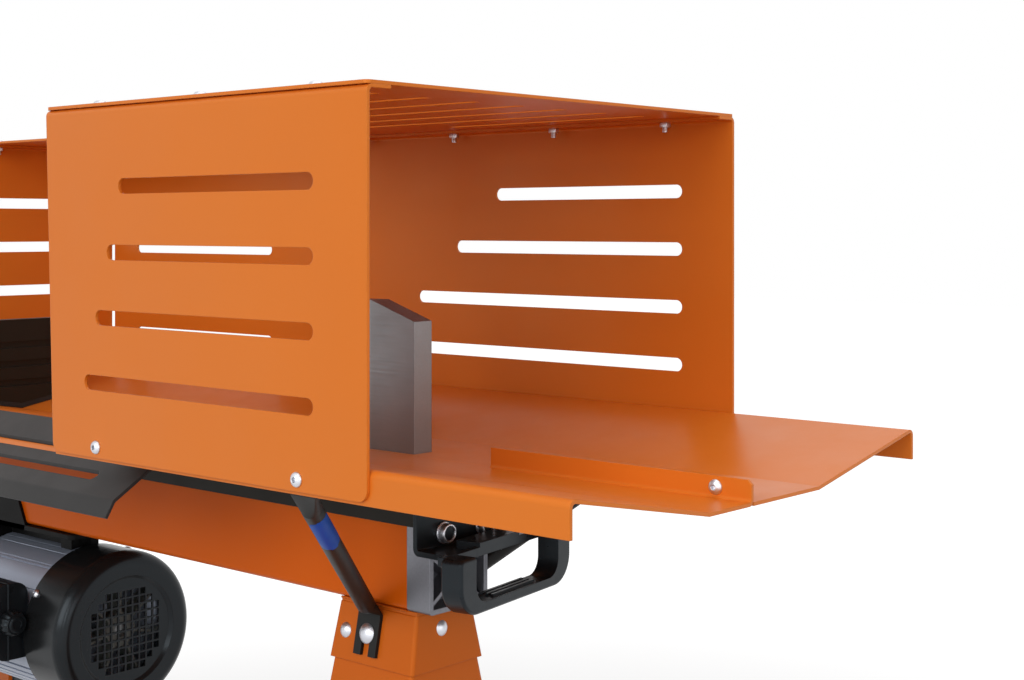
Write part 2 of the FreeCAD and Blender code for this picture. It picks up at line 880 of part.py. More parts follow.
def make_tray_near():
    side = tray_side_points(-1)
    lip_top = (tray_split_y, bed_height + tray_lip_height)
    points = [lip_top, (tray_split_y, bed_height)] + side
    lip_start = tray_end_x - tray_lip_length
    with_lip = bent_sheet(points, sheet, sheet_bend, plane_yz(lip_start), Vector(tray_lip_length, 0, 0), 1)
    plain_points = [(tray_split_y + sheet, bed_height)] + side
    plain = bent_sheet(plain_points, sheet, sheet_bend, plane_yz(tray_start_x),
                       Vector(tray_length - tray_lip_length, 0, 0), 1)
    tray = with_lip.fuse(plain).removeSplitter()
    lip_corner = [(tray_end_x - tray_lip_corner, bed_height + tray_lip_height + cut_overrun),
                  (tray_end_x + cut_overrun, bed_height + tray_lip_height - tray_lip_corner),
                  (tray_end_x + cut_overrun, bed_height + tray_lip_height + cut_overrun)]
    tray = tray.cut(profile(lip_corner, plane_xz(tray_split_y - cut_overrun),
                            Vector(0, sheet + 2 * cut_overrun, 0)))
    return cut_tray_holes(tray, -1)


def make_tray_far():
    points = [(tray_split_y + sheet + tray_seam_gap, bed_height)] + tray_side_points(1)
    tray = bent_sheet(points, sheet, sheet_bend, plane_yz(tray_start_x), Vector(tray_length, 0, 0), -1)
    half = wedge_thickness / 2 + wedge_slot_gap
    edge_x = guard_end_x - wedge_edge_setback
    tray = tray.cut(block(edge_x - wedge_slot_gap, edge_x + wedge_length + wedge_slot_gap, -half, half,
                          tray_under - cut_overrun, bed_height + cut_overrun))
    return cut_tray_holes(tray, 1)


def cut_tray_holes(tray, sign):
    for setback in foot_screw_setbacks:
        place = Vector(guard_end_x - setback, sign * tray_half_width, bed_height + foot_screw_rise)
        tray = tray.cut(plain_hole(place, Vector(0, 1, 0), screw_radius + hole_clearance, sheet + cut_overrun))
    if sign < 0:
        tray = tray.cut(plain_hole(lip_screw_place(), Vector(0, 1, 0), screw_radius + hole_clearance,
                                   sheet + cut_overrun))
    return tray


def lip_screw_place():
    return Vector(tray_end_x - lip_screw_setback, tray_split_y, bed_height + lip_screw_rise)


# Loading trough and apron

def trough_z(y):
    """Top of the trough at a distance y from the beam's middle; its fold rests on the beam."""
    return beam_top + sheet + seat_gap + trough_slope_share * abs(y)


def apron_z(y):
    """Top of the apron's slope at a distance y from the beam's middle."""
    return trough_z(trough_crest_y) - apron_fall_share * (y - trough_crest_y)


def make_trough():
    under = (sheet + seat_gap) * math.hypot(1, apron_fall_share)
    crest_y = trough_crest_y - under / (trough_slope_share + apron_fall_share)
    near_y = trough_crest_y + trough_near_fall
    points = [(-near_y, apron_z(near_y) - under), (-crest_y, trough_z(crest_y)),
              (0, trough_z(0)), (trough_far_y, trough_z(trough_far_y)),
              (trough_far_y, trough_z(trough_far_y) - trough_far_flange)]
    end = tray_start_x - seat_gap
    trough = bent_sheet(points, sheet, sheet_bend, plane_yz(deck_start_x), Vector(end - deck_start_x, 0, 0), -1)
    notch_end = pusher_face_x - pusher_plate
    trough = trough.cut(block(deck_start_x - cut_overrun, notch_end, -trough_notch_half, trough_notch_half,
                              beam_top - cut_overrun, bed_height + cut_overrun))
    fixings = apron_screws() + [(place, Vector(0, 1, 0)) for place in strip_foot_places()]
    for place, direction in fixings:
        trough = trough.cut(plain_hole(place, direction, screw_radius + hole_clearance, 2 * sheet + cut_overrun))
    return trough


def apron_screws():
    direction = Vector(0, -apron_fall_share, 1).normalize()
    return [(Vector(guard_end_x - setback, -apron_screw_y, apron_z(apron_screw_y)), direction)
            for setback in apron_screw_setbacks]


def make_apron():
    crease = (-apron_crease_y, apron_z(apron_crease_y))
    lip = (-apron_lip_y, apron_z(apron_crease_y) - apron_lip_drop)
    points = [lip, crease, (-trough_crest_y, apron_z(trough_crest_y))]
    end_x = guard_end_x - apron_end_setback
    apron = bent_sheet(points, sheet, sheet_bend, plane_yz(end_x - apron_length), Vector(apron_length, 0, 0), -1)
    trim_x = tray_start_x - seat_gap
    apron = apron.cut(block(trim_x, end_x + cut_overrun, -trough_crest_y - apron_trim, 0, beam_top, guard_top_z))
    down = Vector(0, 0, -1)
    for row, y in enumerate(apron_slot_rows_y):
        for index in range(apron_slot_count):
            x1 = end_x - apron_slot_first - apron_slot_shift * (1 - row) - index * apron_slot_pitch
            cutter = slot(x1 - apron_slot_length, x1, -y, apron_slot_width,
                          plane_xy(apron_z(y) + apron_slot_width), down * (apron_slot_width * 2 + sheet))
            apron = apron.cut(cutter)
    for place, direction in apron_screws():
        apron = apron.cut(plain_hole(place, direction, screw_radius + hole_clearance, sheet + cut_overrun))
    return apron


# Guard

def panel_sheet(x0, x1, low):
    """Side panel on the near side with its flange turned in under the top."""
    points = [(-guard_half_width, low), (-guard_half_width, guard_top_z),
              (-guard_half_width + guard_flange, guard_top_z)]
    return bent_sheet(points, sheet, sheet_bend, plane_yz(x0), Vector(x1 - x0, 0, 0), -1)


def side_slot(x0, x1, z):
    return slot(x0, x1, z, slot_height, plane_xz(-guard_half_width - cut_overrun),
                Vector(0, sheet + 2 * cut_overrun, 0))


def guard_bolt_xs():
    """Places of the top bolts along X: four towards the outfeed and four along the strip."""
    count = int((guard_far_total - guard_bolt_first) / guard_bolt_pitch) + 1
    return [guard_end_x - guard_bolt_first - index * guard_bolt_pitch for index in range(count)]


def cut_flange_bolts(panel, x0, x1, y):
    for x in guard_bolt_xs():
        if x0 < x < x1:
            panel = panel.cut(plain_hole(Vector(x, y, guard_top_z), Vector(0, 0, 1),
                                         guard_bolt_radius + hole_clearance, sheet + cut_overrun))
    return panel


def cut_foot_screws(panel, sign):
    for setback in foot_screw_setbacks:
        place = Vector(guard_end_x - setback, sign * guard_half_width, bed_height + foot_screw_rise)
        panel = panel.cut(plain_hole(place, Vector(0, 1, 0), screw_radius + hole_clearance, sheet + cut_overrun))
    return panel


def make_guard_near():
    low = bed_height + guard_foot_gap
    left_top = guard_end_x - guard_length
    left_low = left_top + guard_lean
    panel = panel_sheet(left_top, guard_end_x, low)
    outline = [(left_top, guard_top_z), (left_low, low), (guard_end_x, low), (guard_end_x, guard_top_z)]
    keep = profile(outline, plane_xz(-guard_half_width), Vector(0, guard_flange, 0),
                   [0, guard_corner, guard_corner, 0])
    panel = panel.common(keep)
    for row in range(slot_rows):
        x1 = guard_end_x - slot_end_inset
        x0 = x1 - near_slot_length - row * near_slot_step
        panel = panel.cut(side_slot(x0, x1, guard_top_z - slot_top_inset - row * slot_pitch))
    panel = cut_foot_screws(panel, -1)
    return cut_flange_bolts(panel, left_top, guard_end_x, -guard_half_width + guard_bolt_inset)


def make_guard_far_right():
    low = bed_height + guard_foot_gap
    x0 = guard_end_x - guard_far_length
    panel = panel_sheet(x0, guard_end_x, low)
    for row in range(slot_rows):
        x1 = guard_end_x - slot_end_inset
        panel = panel.cut(side_slot(x1 - far_slot_length - row * far_slot_step, x1,
                                    guard_top_z - slot_top_inset - row * slot_pitch))
    panel = mirrored(panel)
    panel = cut_foot_screws(panel, 1)
    return cut_flange_bolts(panel, x0, guard_end_x, guard_half_width - guard_bolt_inset)


def make_guard_far_left():
    low = bed_height + guard_foot_gap
    x1 = guard_end_x - guard_far_length - guard_joint_gap
    x0 = guard_end_x - guard_far_total
    panel = panel_sheet(x0, x1, low)
    for row in range(slot_rows):
        right = x1 - left_slot_inset
        z = guard_top_z - slot_top_inset - left_slot_drop - row * slot_pitch
        panel = panel.cut(side_slot(right - left_slot_length, right, z))
    panel = mirrored(panel)
    for place in strip_foot_places():
        panel = panel.cut(plain_hole(place, Vector(0, 1, 0), screw_radius + hole_clearance,
                                     2 * sheet + cut_overrun))
    return cut_flange_bolts(panel, x0, x1, guard_half_width - guard_bolt_inset)


def strip_foot_places():
    """Screws that hold the far left panel to the trough's flange."""
    z = trough_z(trough_far_y) - trough_far_flange / 2 - sheet / 2
    return [Vector(guard_end_x - setback, guard_half_width, z) for setback in (guard_far_length + guard_far_foot,
                                                                              guard_far_total - guard_far_foot)]


def top_slot_places():
    """Lines and lengths of the top plate's slots, longer towards the middle."""
    middle = (top_slot_rows - 1) / 2
    places = []
    for index in range(top_slot_rows):
        outer = index in (0, top_slot_rows - 1)
        places.append(((index - middle) * top_slot_pitch, top_slot_outer_length if outer else top_slot_inner_length))
    return places


def make_top_plate():
    x0 = guard_end_x - guard_length
    plate = profile(rectangle(x0, guard_end_x, -guard_half_width, guard_half_width), plane_xy(guard_top_z),
                    Vector(0, 0, sheet), [guard_corner / 2] * 4)
    x1 = guard_end_x - slot_end_inset
    for y, length in top_slot_places():
        plate = plate.cut(slot(x1 - length, x1, y, top_slot_width, plane_xy(guard_top_z - cut_overrun),
                               Vector(0, 0, sheet + 2 * cut_overrun)))
    for y in (-guard_half_width + guard_bolt_inset, guard_half_width - guard_bolt_inset):
        plate = cut_flange_bolts(plate, x0, guard_end_x, y)
    return plate


def make_top_strip():
    x1 = guard_end_x - guard_length - guard_joint_gap
    x0 = end_wall_x
    strip = block(x0, x1, guard_strip_half, guard_half_width, guard_top_z, guard_top_z + sheet)
    for y in (2 * top_slot_pitch, 3 * top_slot_pitch):
        for index in range(strip_slot_count):
            right = guard_end_x - strip_slot_start - index * strip_slot_pitch
            strip = strip.cut(slot(right - strip_slot_length, right, y, top_slot_width,
                                   plane_xy(guard_top_z - cut_overrun), Vector(0, 0, sheet + 2 * cut_overrun)))
    for place in end_wall_bolt_places():
        strip = strip.cut(plain_hole(place, Vector(0, 0, 1), guard_bolt_radius + hole_clearance,
                                     sheet + cut_overrun))
    return cut_flange_bolts(strip, x0, x1, guard_half_width - guard_bolt_inset)


def end_wall_bolt_places():
    x = end_wall_x + guard_bolt_inset
    return [Vector(x, y, guard_top_z + sheet) for y in (top_slot_pitch, 5 * top_slot_pitch / 2)]


def make_end_wall():
    wall_x = end_wall_x
    far_y = guard_half_width - sheet - seat_gap
    low = end_wall_foot_z()
    points = [(wall_x, low), (wall_x, guard_top_z), (wall_x + guard_flange, guard_top_z)]
    wall = bent_sheet(points, sheet, sheet_bend, plane_xz(-end_wall_near_y), Vector(0, end_wall_near_y + far_y, 0),
                      -1)
    reach = 2 * guard_flange
    start = plane_yz(wall_x - cut_overrun)
    arch = profile(rectangle(-end_wall_arch_radius, end_wall_arch_radius, low - cut_overrun,
                             cylinder_z + end_wall_arch_radius), start, Vector(sheet + 2 * cut_overrun, 0, 0),
                   [0, 0, end_wall_arch_radius, end_wall_arch_radius])
    wall = wall.cut(arch)
    inner = end_wall_arch_radius + end_wall_tab_width
    shoulder = beam_top
    for y0, y1 in ((-end_wall_near_y - cut_overrun, -inner), (inner, far_y + cut_overrun)):
        wall = wall.cut(block(wall_x - cut_overrun, wall_x + reach, y0, y1, low - cut_overrun, shoulder))
    near_top = [(-end_wall_near_y - cut_overrun, guard_top_z + cut_overrun), (-end_wall_near_y - cut_overrun,
                cylinder_z + end_wall_arch_radius), (-end_wall_near_y, cylinder_z + end_wall_arch_radius),
                (guard_strip_half, guard_top_z - guard_flange), (guard_strip_half, guard_top_z + cut_overrun)]
    wall = wall.cut(profile(near_top, start, Vector(reach, 0, 0)))
    flange_end = guard_half_width - guard_flange - seat_gap
    wall = wall.cut(block(wall_x + 2 * sheet_bend, wall_x + reach, flange_end, far_y + cut_overrun,
                          guard_top_z - guard_flange, guard_top_z + cut_overrun))
    for row in range(end_wall_slot_rows):
        z = guard_top_z - slot_top_inset - end_wall_slot_drop - row * slot_pitch
        wall = wall.cut(slot(end_wall_slot_far, guard_half_width - end_wall_slot_inset, z, slot_height, start,
                             Vector(sheet + 2 * cut_overrun, 0, 0)))
    for place in end_wall_bolt_places():
        wall = wall.cut(plain_hole(place, Vector(0, 0, 1), guard_bolt_radius + hole_clearance,
                                   2 * sheet + cut_overrun))
    return wall


def make_cleats():
    """Small angles that hold the end wall's legs to the beam's sides."""
    points = [(end_wall_x - cleat_leg, -beam_half), (end_wall_x, -beam_half), (end_wall_x, -beam_half - cleat_reach)]
    near = bent_sheet(points, sheet, sheet_bend, plane_xy(end_wall_foot_z()), Vector(0, 0, cleat_height), -1)
    return group([near, mirrored(near)])


def end_wall_foot_z():
    return bed_height - end_wall_foot_drop


def guard_bolt_places():
    """Top faces under every bolt head of the guard."""
    top = guard_top_z + sheet
    near = -guard_half_width + guard_bolt_inset
    places = [Vector(x, near, top) for x in guard_bolt_xs() if x > guard_end_x - guard_length]
    places += [Vector(x, -near, top) for x in guard_bolt_xs()]
    return places + end_wall_bolt_places()


def make_guard_bolts():
    bolt = pan_screw(guard_bolt_head_radius, guard_bolt_head_height, guard_bolt_radius,
                     2 * sheet + guard_nut_height + guard_bolt_stub)
    nut = hexagon(guard_nut_radius, guard_nut_height, guard_bolt_radius + running_gap)
    solids = [along(bolt, place, Vector(0, 0, 1)) for place in guard_bolt_places()]
    solids += [along(nut, place - Vector(0, 0, 2 * sheet), Vector(0, 0, -1)) for place in guard_bolt_places()]
    return group(solids)


def make_pan_screws():
    """Every pan head screw of the sheet work: guard foot, strip foot, tray lip and apron."""
    through = pan_screw(screw_head_radius, screw_head_height, screw_radius, 2 * sheet + screw_stub)
    screws = []
    for sign in (-1, 1):
        for setback in foot_screw_setbacks:
            screws.append(along(through, Vector(guard_end_x - setback, sign * guard_half_width,
                                                bed_height + foot_screw_rise), Vector(0, sign, 0)))
    for place in strip_foot_places():
        screws.append(along(through, place, Vector(0, 1, 0)))
    short = pan_screw(screw_head_radius, screw_head_height, screw_radius, sheet)
    screws.append(along(short, lip_screw_place(), Vector(0, -1, 0)))
    for place, direction in apron_screws():
        screws.append(along(through, place, direction))
    return group(screws)


# Front leg and struts

def leg_half(z):
    """Half sizes of the leg's outside at a height."""
    fall = beam_bottom - z
    return leg_half_x + leg_flare_x_share * fall, leg_half_y + leg_flare_y_share * fall


def flared_channel(z_top, z_low, inset, thickness):
    """Four sided leg, wider towards the ground and open towards the motor."""
    def ring(z, trim, open_side):
        half_x, half_y = leg_half(z)
        half_x -= trim
        half_y -= trim
        back = half_x + (2 * thickness if open_side else 0)
        points = [(-back, -half_y), (half_x, -half_y), (half_x, half_y), (-back, half_y)]
        return Part.makePolygon([Vector(u, v, z) for u, v in points + points[:1]])
    outer = Part.makeLoft([ring(z_low, inset, False), ring(z_top, inset, False)], True, True)
    upright = [edge for edge in outer.Edges if edge.BoundBox.ZLength > (z_top - z_low) / 2
               and edge.BoundBox.XMax > 0]
    outer = outer.makeFillet(leg_corner, upright)
    extra = cut_overrun
    inner = Part.makeLoft([ring(z_low - extra, inset + thickness, True),
                           ring(z_top + extra, inset + thickness, True)], True, True)
    return outer.cut(inner)


def side_normal(sign):
    return Vector(0, sign, leg_flare_y_share).normalize()


def side_place(x, sign, drop):
    z = beam_bottom - drop
    return Vector(x, sign * leg_half(z)[1], z)


def end_place():
    z = beam_bottom - leg_end_bolt_drop
    return Vector(leg_half(z)[0], leg_end_bolt_y, z)


def end_normal():
    return Vector(1, 0, leg_flare_x_share).normalize()


def leg_bolt_seats():
    """Seat and outward direction of every plain leg bolt."""
    seats = [(side_place(leg_side_bolt_x, sign, leg_side_bolt_drop), side_normal(sign)) for sign in (-1, 1)]
    return seats + [(end_place(), end_normal())]


def strut_bolt_seats():
    return [(side_place(strut_bolt_x, sign, strut_bolt_drop) + side_normal(sign) * strut_flat_thickness,
             side_normal(sign)) for sign in (-1, 1)]


def cut_leg_bolts(leg):
    for place, direction in leg_bolt_seats() + strut_bolt_seats():
        leg = leg.cut(plain_hole(place, direction, leg_bolt_radius + hole_clearance, 5 * leg_sheet))
    return leg


def make_leg_bracket():
    bracket = flared_channel(beam_bottom - leg_top_plate, beam_bottom - leg_bracket_height, 0, leg_sheet)
    top = block(-leg_half_x, leg_half_x, -leg_half_y, leg_half_y, beam_bottom - leg_top_plate, beam_bottom)
    return cut_leg_bolts(bracket.fuse(top).removeSplitter())


def make_lower_leg():
    top = beam_bottom - leg_bracket_height + leg_overlap
    return cut_leg_bolts(flared_channel(top, foot_plate_thickness, leg_sheet + seat_gap, leg_sheet))


def make_leg_bolts():
    plain = cup_bolt(leg_bolt_head_radius, leg_bolt_head_height, leg_bolt_radius, leg_bolt_stub)
    strut = cup_bolt(strut_bolt_head_radius, strut_bolt_head_height, strut_bolt_radius,
                     leg_bolt_stub + strut_flat_thickness)
    bolts = [along(plain, place, direction) for place, direction in leg_bolt_seats()]
    bolts += [along(strut, place, direction) for place, direction in strut_bolt_seats()]
    return group(bolts)


def make_foot_plate():
    plate = profile(rectangle(-foot_plate_half_x, foot_plate_half_x, -foot_plate_half_y, foot_plate_half_y),
                    plane_xy(0), Vector(0, 0, foot_plate_thickness), [foot_plate_corner] * 4)
    for x in (-foot_hole_x, foot_hole_x):
        for y in (-foot_hole_y, foot_hole_y):
            plate = plate.cut(rod(Vector(x, y, -cut_overrun), Vector(0, 0, 1), foot_hole_radius,
                                  foot_plate_thickness + 2 * cut_overrun))
    return plate


def strut_near_shape():
    """Round tube, pressed flat at both ends; the lower end is forked round its bolt."""
    outward = side_normal(-1)
    down = Vector(0, -leg_flare_y_share, -1).normalize()
    face = side_place(strut_bolt_x, -1, strut_bolt_drop)
    middle = outward * (strut_flat_thickness / 2)
    half = strut_flat_width / 2
    across = Vector(1, 0, 0)
    low_bend = face - down * strut_tab_rise
    corners = [low_bend - across * half, low_bend + across * half,
               face + down * strut_tab_fall + across * half, face + down * strut_tab_fall - across * half]
    tab = Part.Face(Part.makePolygon(corners + corners[:1])).extrude(outward * strut_flat_thickness)
    notch_half = strut_slot_width / 2
    notch = [face - across * notch_half, face + across * notch_half,
             face + down * (strut_tab_fall * 2) + across * notch_half,
             face + down * (strut_tab_fall * 2) - across * notch_half]
    notch_start = outward * -cut_overrun
    cutter = Part.Face(Part.makePolygon([p + notch_start for p in notch + notch[:1]]))
    cutter = cutter.extrude(outward * (strut_flat_thickness + 2 * cut_overrun))
    round_end = plain_hole(face, outward, notch_half, strut_flat_thickness + cut_overrun)
    tab = tab.cut(cutter).cut(round_end)

    top_x = guard_end_x - strut_top_setback
    top_y = -(flange_face_y - sheet)
    flange_low = bed_height + tray_rise - tray_flange
    top_low = flange_low - strut_wall
    top_tab = block(top_x - half, top_x + half, top_y, top_y + strut_flat_thickness, top_low,
                    top_low + strut_top_tab)
    screw_place = Vector(top_x, top_y, bed_height + foot_screw_rise)
    top_tab = top_tab.cut(plain_hole(screw_place, Vector(0, 1, 0), screw_radius + hole_clearance,
                                     strut_flat_thickness + cut_overrun))

    low_end = low_bend + middle
    top_end = Vector(top_x, top_y + strut_flat_thickness / 2, top_low)
    line = (top_end - low_end).normalize()
    low_round = low_end + line * strut_taper
    top_round = top_end - line * strut_taper

    level = across - line * across.dot(line)
    other = line.cross(level).normalize()
    level.normalize()

    def flat_ring(point, thickness_way):
        wide = across * half
        deep = thickness_way * (strut_flat_thickness / 2)
        corners = [point + wide + deep, point - wide + deep, point - wide - deep, point + wide - deep]
        return Part.makePolygon(corners + corners[:1])

    def round_ring(point):
        def on_ring(eighth):
            angle = math.pi * eighth / 4
            return point + level * (strut_radius * math.cos(angle)) + other * (strut_radius * math.sin(angle))
        arcs = [Part.Arc(on_ring(k), on_ring(k + 1), on_ring(k + 2)).toShape() for k in (1, 3, 5, 7)]
        return Part.Wire(arcs)

    rings = [flat_ring(low_end, down.cross(across)), round_ring(low_round), round_ring(top_round),
             flat_ring(top_end, Vector(0, 1, 0))]
    tube = Part.makeLoft(rings, True, True)
    bore_length = (top_round - low_round).Length
    bore = rod(low_round, line, strut_radius - strut_wall, bore_length)
    return tube.fuse([tab, top_tab]).cut(bore)


def make_struts():
    near = strut_near_shape()
    return group([near, mirrored(near)])


# Rear legs, axle and wheels

def make_rear_stand():
    """Two bent flat bars down from the beam's sides, welded together by a cross tie."""
    foot_z = wheel_radius + rear_leg_foot_height
    knee_z = beam_bottom - rear_leg_bend
    points = [(-beam_half, beam_bottom + rear_leg_top_rise), (-beam_half, knee_z), (-rear_leg_foot_y, foot_z),
              (-rear_leg_foot_y, wheel_radius - rear_leg_eye)]
    near = bent_sheet(points, rear_leg_sheet, rear_leg_bend, plane_yz(axle_x - rear_leg_width / 2),
                      Vector(rear_leg_width, 0, 0), -1)
    hole = plain_hole(Vector(axle_x, -rear_leg_foot_y, wheel_radius), Vector(0, 1, 0),
                      axle_radius + hole_clearance, 2 * rear_leg_sheet)
    near = near.cut(hole)
    slope = (rear_leg_foot_y - beam_half) / (knee_z - foot_z)
    tie_low = cross_tie_height - cross_tie_depth
    top_half = beam_half + slope * (knee_z - cross_tie_height)
    low_half = beam_half + slope * (knee_z - tie_low)
    corners = [(-top_half, cross_tie_height), (top_half, cross_tie_height), (low_half, tie_low), (-low_half, tie_low)]
    tie = profile(corners, plane_yz(axle_x - cross_tie_sheet / 2), Vector(cross_tie_sheet, 0, 0))
    return near.fuse([mirrored(near), tie])


def make_axle():
    """Axle with a shoulder inside each wheel and a head outside it."""
    hub_end = wheel_y + rim_hub_half_length + axle_end_gap
    hub_start = wheel_y - rim_hub_half_length - axle_end_gap
    shoulder_start = rear_leg_foot_y + rear_leg_sheet + seat_gap
    axle = rod(Vector(axle_x, -hub_end, wheel_radius), Vector(0, 1, 0), axle_radius, 2 * hub_end)
    ends = []
    for sign in (-1, 1):
        outward = Vector(0, sign, 0)
        ends.append(rod(Vector(axle_x, sign * hub_end, wheel_radius), outward, axle_head_radius, axle_head_length))
        ends.append(rod(Vector(axle_x, sign * shoulder_start, wheel_radius), outward, axle_head_radius,
                        hub_start - shoulder_start))
    return axle.fuse(ends).removeSplitter()


def make_rim(sign):
    """Moulded wheel centre: hub, web with holes and the band under the tyre."""
    half_band = wheel_width / 2
    lip = rim_radius + rim_band / 2
    points = [(axle_radius + wheel_bore_gap, -rim_hub_half_length), (rim_hub_radius, -rim_hub_half_length),
              (rim_hub_radius, -rim_web_half), (rim_radius - rim_band, -rim_web_half),
              (rim_radius - rim_band, -half_band), (lip, -half_band), (lip, -half_band + rim_band / 2),
              (rim_radius, -half_band + rim_band / 2), (rim_radius, half_band - rim_band / 2),
              (lip, half_band - rim_band / 2), (lip, half_band), (rim_radius - rim_band, half_band),
              (rim_radius - rim_band, rim_web_half), (rim_hub_radius, rim_web_half),
              (rim_hub_radius, rim_hub_half_length), (axle_radius + wheel_bore_gap, rim_hub_half_length)]
    centre_y = sign * wheel_y
    face = Part.Face(closed_wire(points, [0] * len(points),
                                 lambda r, s: Vector(axle_x + r, centre_y + s, wheel_radius)))
    rim = face.revolve(Vector(axle_x, centre_y, wheel_radius), Vector(0, 1, 0), 360)
    for index in range(rim_hole_count):
        angle = 2 * math.pi * index / rim_hole_count
        place = Vector(axle_x + rim_hole_circle * math.cos(angle), centre_y,
                       wheel_radius + rim_hole_circle * math.sin(angle))
        rim = rim.cut(plain_hole(place, Vector(0, 1, 0), rim_hole_radius, rim_web_half + cut_overrun))
    return rim


def make_tyre(sign):
    half = wheel_width / 2
    low = rim_radius
    seat = half - rim_band / 2
    points = [(low, -seat), (low + rim_band, -seat), (wheel_radius, -half + tyre_shoulder / 4),
              (wheel_radius, half - tyre_shoulder / 4), (low + rim_band, seat), (low, seat)]
    centre_y = sign * wheel_y
    face = Part.Face(closed_wire(points, [0, 0, tyre_shoulder, tyre_shoulder, 0, 0],
                                 lambda r, s: Vector(axle_x + r, centre_y + s, wheel_radius)))
    return face.revolve(Vector(axle_x, centre_y, wheel_radius), Vector(0, 1, 0), 360)


# Hydraulic cylinder, rod and pusher

def tie_rod_places():
    return [(y, z) for y in (-tie_rod_offset, tie_rod_offset)
            for z in (cylinder_z - tie_rod_offset, cylinder_z + tie_rod_offset)]


def end_block(x0, length, bore):
    """Square block on the beam, bored for the rod and the tie rods."""
    half = head_half
    top = cylinder_z + half
    body = rounded_block(x0, x0 + length, -half, half, beam_top, top, head_corner)
    if bore > 0:
        body = body.cut(rod(Vector(x0 - cut_overrun, 0, cylinder_z), Vector(1, 0, 0), bore,
                            length + 2 * cut_overrun))
    for y, z in tie_rod_places():
        body = body.cut(rod(Vector(x0 - cut_overrun, y, z), Vector(1, 0, 0), tie_rod_radius + hole_clearance,
                            length + 2 * cut_overrun))
    return body


def make_cylinder_tube():
    outer = rod(Vector(tube_rear_x, 0, cylinder_z), Vector(1, 0, 0), bore_radius + cylinder_wall, chamber_length)
    return outer.cut(rod(Vector(tube_rear_x, 0, cylinder_z), Vector(1, 0, 0), bore_radius, chamber_length))


def make_tie_rods():
    nut = hexagon(tie_nut_radius, tie_nut_height, 0)
    rods = []
    for y, z in tie_rod_places():
        body = rod(Vector(cap_rear_x, y, z), Vector(1, 0, 0), tie_rod_radius, head_front_x - cap_rear_x)
        front = along(nut, Vector(head_front_x, y, z), Vector(1, 0, 0))
        rear = along(nut, Vector(cap_rear_x, y, z), Vector(-1, 0, 0))
        rods.append(body.fuse([front, rear]).removeSplitter())
    return group(rods)


def make_piston():
    disc = rod(Vector(piston_rear_x, 0, cylinder_z), Vector(1, 0, 0), bore_radius - running_gap, piston_length)
    return disc.cut(rod(Vector(piston_rear_x - cut_overrun, 0, cylinder_z), Vector(1, 0, 0), rod_radius,
                        piston_length + 2 * cut_overrun))


def make_piston_rod():
    return rod(Vector(piston_rear_x, 0, cylinder_z), Vector(1, 0, 0), rod_radius,
               pusher_face_x - pusher_plate - piston_rear_x)


def pusher_outline(half, gap, top, corner):
    """Cross section of the pusher: flat top, upright sides and a V that follows the trough."""
    edge = trough_z(half) + gap
    points = [(-half, edge), (0, trough_z(0) + gap), (half, edge), (half, top), (-half, top)]
    return points, [0, 0, 0, corner, corner]


def make_pusher():
    gap = pusher_run_gap + pusher_shoe_thickness
    top = bed_height + pusher_top
    points, radii = pusher_outline(pusher_half_width, gap, top, pusher_corner)
    plate_x = pusher_face_x - pusher_plate
    plate = profile(points, plane_yz(plate_x), Vector(pusher_plate, 0, 0), radii)
    for index in range(pusher_groove_count):
        z = cylinder_z + (index - (pusher_groove_count - 1) / 2) * pusher_groove_pitch
        plate = plate.cut(block(pusher_face_x - pusher_groove_depth, pusher_face_x + cut_overrun,
                                -pusher_half_width - cut_overrun, pusher_half_width + cut_overrun,
                                z - pusher_groove_height / 2, z + pusher_groove_height / 2))
    hub = rod(Vector(pusher_rear_x, 0, cylinder_z), Vector(1, 0, 0), pusher_hub_radius, pusher_length)
    ribs = []
    for index in range(pusher_rib_count):
        y = (index - (pusher_rib_count - 1) / 2) * (2 * (pusher_half_width - pusher_rib / 2)
                                                     / (pusher_rib_count - 1))
        low = trough_z(abs(y) + pusher_rib / 2) + gap
        points = [(plate_x, low), (plate_x, top - pusher_corner), (pusher_rear_x, cylinder_z + pusher_hub_radius),
                  (pusher_rear_x, low)]
        ribs.append(profile(points, plane_xz(y - pusher_rib / 2), Vector(0, pusher_rib, 0)))
    pusher = plate.fuse([hub] + ribs).removeSplitter()
    socket = rod(Vector(pusher_rear_x - cut_overrun, 0, cylinder_z), Vector(1, 0, 0), rod_radius,
                 pusher_length + cut_overrun)
    return pusher.cut(socket)


def make_pusher_shoe():
    half = pusher_half_width
    low = pusher_run_gap
    high = pusher_run_gap + pusher_shoe_thickness
    points = [(-half, trough_z(half) + low), (0, trough_z(0) + low), (half, trough_z(half) + low),
              (half, trough_z(half) + high), (0, trough_z(0) + high), (-half, trough_z(half) + high)]
    return profile(points, plane_yz(pusher_face_x - pusher_plate), Vector(pusher_plate, 0, 0))


# Motor

def turned_about_motor(points, radii=None):
    """Revolves an outline given as distance from the axis and place along X."""
    rounds = radii if radii is not None else [0] * len(points)
    face = Part.Face(closed_wire(points, rounds, lambda r, x: Vector(x, 0, motor_z + r)))
    return face.revolve(Vector(0, 0, motor_z), Vector(1, 0, 0), 360)


